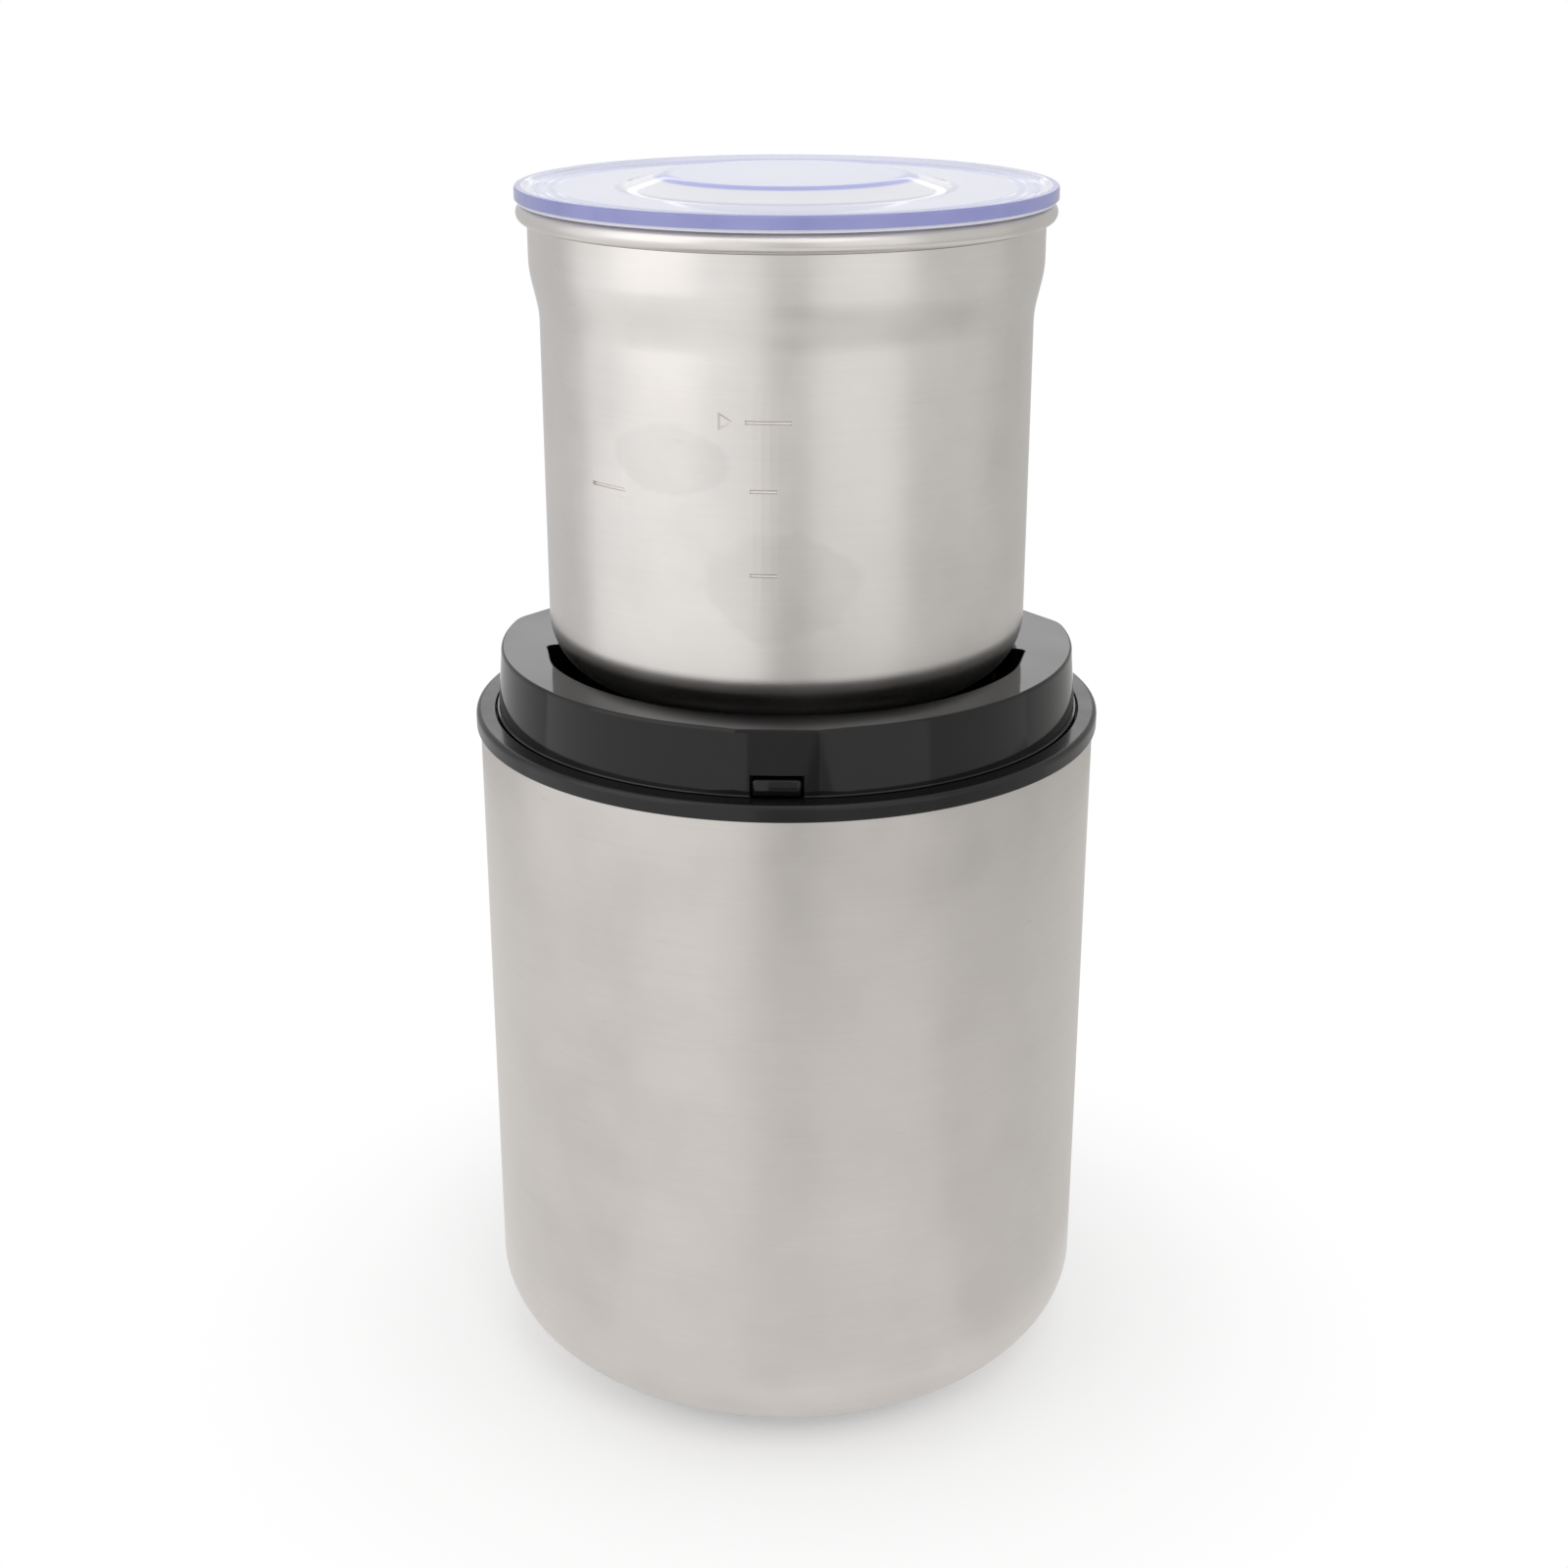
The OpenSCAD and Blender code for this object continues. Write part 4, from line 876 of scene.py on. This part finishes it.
piece("steel_cup", cut_from(cup_mesh, [mark_mesh]), "cup", [cup_steel], ["cup_bowl"])

# %% [markdown]
# ## Lid
# The storage lid is clear plastic: a band that stands on the bead, a face sunk a little below it, a
# raised round pad, and a ring below that plugs the cup. Fine rings run round the face near its edge.
# The faces of the band get the deeper violet.

# %% Lid
pad_rise = 2.2 * MM
face_z = lid_high - pad_rise
band_top = face_z + 0.65 * MM
under_z = face_z - 1.6 * MM
pad_r = 21 * MM
pad_foot_r = 28.6 * MM
hollow_r = 20.5 * MM
hollow_foot_r = 27.5 * MM
plug_r = 42.9 * MM
plug_in_r = plug_r - 1.4 * MM
plug_low = bowl_top - 3.5 * MM
rings = [(43.8, 0.12), (43.0, 0.10), (41.6, 0.12), (39.8, 0.10)]
lid_corners = [(0, lid_high, 0), (pad_r, lid_high, 0.9 * MM), (pad_foot_r, face_z, 1.5 * MM)]
for r, h in rings[::-1]:
    lid_corners += [((r - 0.3) * MM, face_z, 0), ((r - 0.25) * MM, face_z, 0),
                    (r * MM, face_z + h * MM, 0.05 * MM),
                    ((r + 0.25) * MM, face_z, 0), ((r + 0.3) * MM, face_z, 0)]
lid_corners += [
    (lid_r - 2.05 * MM, face_z, 0.2 * MM), (lid_r - 1.4 * MM, band_top, 0.3 * MM),
    (lid_r, band_top, 0.5 * MM), (lid_r, lid_low_z + 0.6 * MM, 0.1 * MM),
    (lid_r - 0.5 * MM, lid_low_z + 0.5 * MM, 0.1 * MM), (lid_r - 0.5 * MM, lid_low_z, 0.1 * MM),
    (plug_r, lid_low_z, 0.2 * MM),
    (plug_r, plug_low, 0.4 * MM), (plug_in_r, plug_low, 0.4 * MM),
    (plug_in_r, under_z, 0.4 * MM), (hollow_foot_r, under_z, 0.6 * MM),
    (hollow_r, under_z + pad_rise, 0.6 * MM), (0, under_z + pad_rise, 0)]
lid_mesh = turned("clear_lid", eased(lid_corners))
lid = piece("clear_lid", lid_mesh, "lid", [lid_face, lid_band], ["storage_lid"])
for face in lid.data.polygons:
    on_band = face.center.xy.length > lid_r - 1.2 * MM and face.center.z > lid_low_z + 0.55 * MM
    face.material_index = 1 if on_band else 0
print("band has", sum(face.material_index for face in lid.data.polygons), "faces")

# %% [markdown]
# ## Feet and base screws
# Four rubber feet are pressed into the base plate, and four screws hold the plate to the frame. Each
# is the same shape four times, so Geometry Nodes set a template on the points of a circle. The feet
# have two grooves below, so that they grip, and each screw head has a cross recess.

# %% Feet and screws
def ring_of(name, template, cutter, circle_r, turn, material):
    holders = [placed(name + "_template", mesh) for mesh in (template, cutter) if mesh]
    sizes = {"Circle radius": circle_r}
    tree, size = plan(name + "_plan", sizes)
    shapes = [add(tree, "GeometryNodeObjectInfo", {"Object": h}).outputs["Geometry"] for h in holders]
    shape = shapes[0]
    if cutter:
        shape = add(tree, "GeometryNodeMeshBoolean", {"Mesh 1": shapes[0], "Mesh 2": shapes[1]},
                    operation="DIFFERENCE").outputs["Mesh"]
    spots = add(tree, "GeometryNodeMeshCircle", {"Vertices": 4, "Radius": size["Circle radius"]})
    spots = moved(tree, spots, Rotation=(0, 0, math.radians(turn)))
    copies = add(tree, "GeometryNodeInstanceOnPoints", {"Points": spots, "Instance": shape})
    mesh = grown(tree, sizes, copies, material)
    for holder in holders:
        bpy.data.objects.remove(holder)
    return mesh


foot = turned("foot", eased([
    (0, 0.35 * MM, 0), (1.5 * MM, 0.35 * MM, 0.1 * MM), (1.8 * MM, 0, 0.1 * MM), (2.7 * MM, 0, 0.1 * MM),
    (3.0 * MM, 0.35 * MM, 0.1 * MM), (3.4 * MM, 0.35 * MM, 0.1 * MM), (3.7 * MM, 0, 0.1 * MM),
    (6 * MM, 0, 0.7 * MM), (6 * MM, 3 * MM, 0.2 * MM), (2.9 * MM, 3 * MM, 0),
    (2.9 * MM, 5.5 * MM, 0.3 * MM), (0, 5.5 * MM, 0)]), 48)
foot_circle_r = 31 * MM
piece("grip_feet", ring_of("grip_feet", foot, None, foot_circle_r, 45, rubber), "base",
      [rubber], ["rubber_feet"])

screw_low, screw_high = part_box("base_screws")
screw_circle_r = 34 * MM
head_r = screw_high.x - screw_circle_r
thread_r = 1.45 * MM
seat_z = 4.5 * MM
screw = turned("screw", eased([
    (0, screw_low.z, 0), (head_r, screw_low.z, 0.5 * MM), (head_r, seat_z, 0.1 * MM),
    (thread_r, seat_z, 0), (thread_r, screw_high.z - 0.8 * MM, 0), (0.8 * MM, screw_high.z, 0),
    (0, screw_high.z, 0)]), 40)
arm = 1.7 * MM
slim = 0.42 * MM
arm_x = block("arm_x", (-arm, -slim, screw_low.z - MM), (arm, slim, screw_low.z + 1.0 * MM))
arm_y = block("arm_y", (-slim, -arm, screw_low.z - MM), (slim, arm, screw_low.z + 1.0 * MM))
cross = cut_from(arm_x, [arm_y], "UNION")
piece("cross_head_screws", ring_of("cross_head_screws", screw, cross, screw_circle_r, 0, plated),
      "base", [plated], ["base_screws"])

# %% [markdown]
# ## Base plate, grommet and cup housing
# The base plate closes the sleeve from below, with vents in a ring for the fan. It and the housing
# under the cup are copies of their CAD meshes with bevelled edges, as a mould leaves them. The rubber
# grommet lines the cord's hole: a turned ring with a groove that grips the sleeve.

# %% Base plate, grommet and cup housing
piece("vented_plate", softened("base_plate", 0.25 * MM, 2), "base", [satin_abs],
      ["base_plate"], crease=18, outward=False)
piece("cup_housing", softened("cup_base", 0.35 * MM, 2), "cup", [satin_abs], ["cup_base"],
      crease=18, outward=False)

grommet_low, grommet_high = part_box("cord_grommet")
ring_r = grommet_high.x
bore_r = 3.4 * MM
groove_r = 5.0 * MM
groove_in = grommet_low.y + 2.5 * MM
groove_out = 56.35 * MM
grommet = turned("grommet", eased([
    (bore_r, grommet_low.y, 0.4 * MM), (ring_r, grommet_low.y, 0.5 * MM),
    (ring_r, groove_in, 0.2 * MM), (groove_r, groove_in, 0),
    (groove_r, groove_out, 0), (ring_r, groove_out, 0.1 * MM), (ring_r, grommet_high.y, 0.3 * MM),
    (bore_r, grommet_high.y, 0.3 * MM)]), 64)
grommet.transform(Matrix.Translation((0, 0, inlet_level)) @ Matrix.Rotation(-math.pi / 2, 4, "X"))
piece("inlet_grommet", grommet, "base", [rubber], ["cord_grommet"])

# %% [markdown]
# ## Floor, backdrop and light
# The grinder stands on a plain white floor in front of a white background. Metal shows what is
# around it, so the white room gives the steel its light tone, and grey cards beside the camera give
# it its soft darker bands. The floor is lit near the object, where it keeps the shadow, and turns to
# plain white further out. seen_rays tells the rays of the eye, and those that it sees in a mirror or
# through clear plastic, from the rays that only carry light.

# %% Floor
def seen_rays(tree):
    rays = add(tree, "ShaderNodeLightPath")
    seen = maths(tree, "MAXIMUM", rays.outputs["Is Camera Ray"], rays.outputs["Is Glossy Ray"])
    return maths(tree, "MAXIMUM", seen, rays.outputs["Is Transmission Ray"])


floor_white = blank("floor_white")
tree = floor_white.node_tree
place = add(tree, "ShaderNodeTexCoord").outputs["Object"]
far = add(tree, "ShaderNodeVectorMath", {0: place}, operation="LENGTH").outputs["Value"]
fade = add(tree, "ShaderNodeMapRange",
           {"Value": far, "From Min": 60 * MM, "From Max": 130 * MM, "To Min": 0.4},
           interpolation_type="SMOOTHSTEP")
whiter = maths(tree, "MULTIPLY", seen_rays(tree), fade)
matt = add(tree, "ShaderNodeBsdfDiffuse", {"Color": colour("F8F8F8")})
white = add(tree, "ShaderNodeEmission", {"Color": colour("FFFFFF"), "Strength": 1.0})
both = add(tree, "ShaderNodeMixShader", {0: whiter, 1: matt, 2: white})
add(tree, "ShaderNodeOutputMaterial", {"Surface": both})
floor_mesh = bpy.data.meshes.new("floor")
floor_mesh.from_pydata([(-4, -4, 0), (4, -4, 0), (4, 4, 0), (-4, 4, 0)], [], [(0, 1, 2, 3)])
floor_mesh.materials.append(floor_white)
floor = placed("floor", floor_mesh)
floor.location.z = -0.2 * MM
print("floor made")

# %% [markdown]
# The room around is the world's plain white, a little weaker as light than it looks.

# %% World
world = bpy.data.worlds.new("white_room")
bpy.context.scene.world = world
world.use_nodes = True
tree = world.node_tree
tree.nodes.clear()
dim = add(tree, "ShaderNodeBackground", {"Color": colour("FFFFFF"), "Strength": 0.85})
plain = add(tree, "ShaderNodeBackground", {"Color": colour("FFFFFF"), "Strength": 1.0})
both = add(tree, "ShaderNodeMixShader", {0: seen_rays(tree), 1: dim, 2: plain})
add(tree, "ShaderNodeOutputWorld", {"Surface": both})
print("the room is white to the eye and to metal")

# %% [markdown]
# Three softboxes light the matt pieces. The cards are grey strips that only metal and gloss see, as in
# a product studio: upright ones round the object from one angle to another, with a darker foot where
# the body mirrors the table, flat ones on the table, and a bright one behind for the collar's top.

# %% Lamps and cards
def facing(thing, azimuth, distance, level, target=0.13):
    a = math.radians(azimuth) + VIEW_TURN
    thing.location = (distance * math.sin(a), -distance * math.cos(a), level)
    aim = Vector((0, 0, target)) - thing.location
    thing.rotation_euler = aim.to_track_quat("-Z", "Y").to_euler()


def lamp(name, azimuth, distance, level, width, height, watts):
    light = bpy.data.lights.new(name, "AREA")
    light.shape = "RECTANGLE"
    light.size = width
    light.size_y = height
    light.energy = watts
    made = placed(name, light)
    facing(made, azimuth, distance, level)
    return made


def card(name, start, end, shade, near=0.34, far=0.34, low=0.0, high=0.9, glow=1.0, steps=12):
    material = blank(name)
    tone = add(material.node_tree, "ShaderNodeEmission", {"Color": colour(shade), "Strength": glow})
    add(material.node_tree, "ShaderNodeOutputMaterial", {"Surface": tone})
    mesh = bpy.data.meshes.new(name)
    turn = [VIEW_TURN + math.radians(start + (end - start) * k / steps) for k in range(steps + 1)]
    points = [(near * math.sin(a), -near * math.cos(a), low) for a in turn]
    points += [(far * math.sin(a), -far * math.cos(a), high) for a in turn]
    mesh.from_pydata(points, [], [(k, k + 1, steps + k + 2, steps + k + 1) for k in range(steps)])
    mesh.materials.append(material)
    made = placed(name, mesh)
    made.visible_camera = False
    made.visible_diffuse = False
    made.visible_shadow = False
    made.visible_transmission = False
    return made


lamp("left_softbox", -58, 0.8, 0.45, 0.7, 1.2, 1.2)
lamp("right_softbox", 62, 1.0, 0.5, 0.4, 0.8, 0.4)
lamp("top_softbox", 10, 0.9, 1.1, 0.5, 0.5, 3.2)
foot_top = 0.055
table_z = 0.0004
card("card_behind_left", -158, -100, "D4D4D4")
for name, start, end, shade, foot_shade in [("card_at_camera", -9, 11, "D4D4D2", "A0A0A0"),
                                            ("card_right_of_camera", 11, 52, "FCFCFA", "C8C8C8"),
                                            ("card_right", 52, 100, "D8D8D6", "B4B4B4")]:
    card(name, start, end, shade, low=foot_top)
    card(name + "_low", start, end, foot_shade, high=foot_top)
card("card_behind_right", 100, 158, "C8C8C6")
for name, start, end, shade in [("table_card_front", -12, 12, "ECECEA"),
                                ("table_card_right_of_camera", 12, 50, "F2F2F0"),
                                ("table_card_right", 50, 150, "E2E2E0"),
                                ("table_card_left_of_camera", -50, -12, "F8F8F6"),
                                ("table_card_left", -150, -50, "F0F0EE")]:
    card(name, start, end, shade, near=0.08, low=table_z, high=table_z)
card("bright_wall_behind", 150, 210, "FFFFFF", 1.0, 1.0, 0.42, 0.50, 1.65)
print("three lamps and fourteen cards stand round the object")

# %% [markdown]
# ## Colours
# Standard colours keep the hex values as typed.

# %% Colour management
bpy.context.scene.view_settings.view_transform = "Standard"
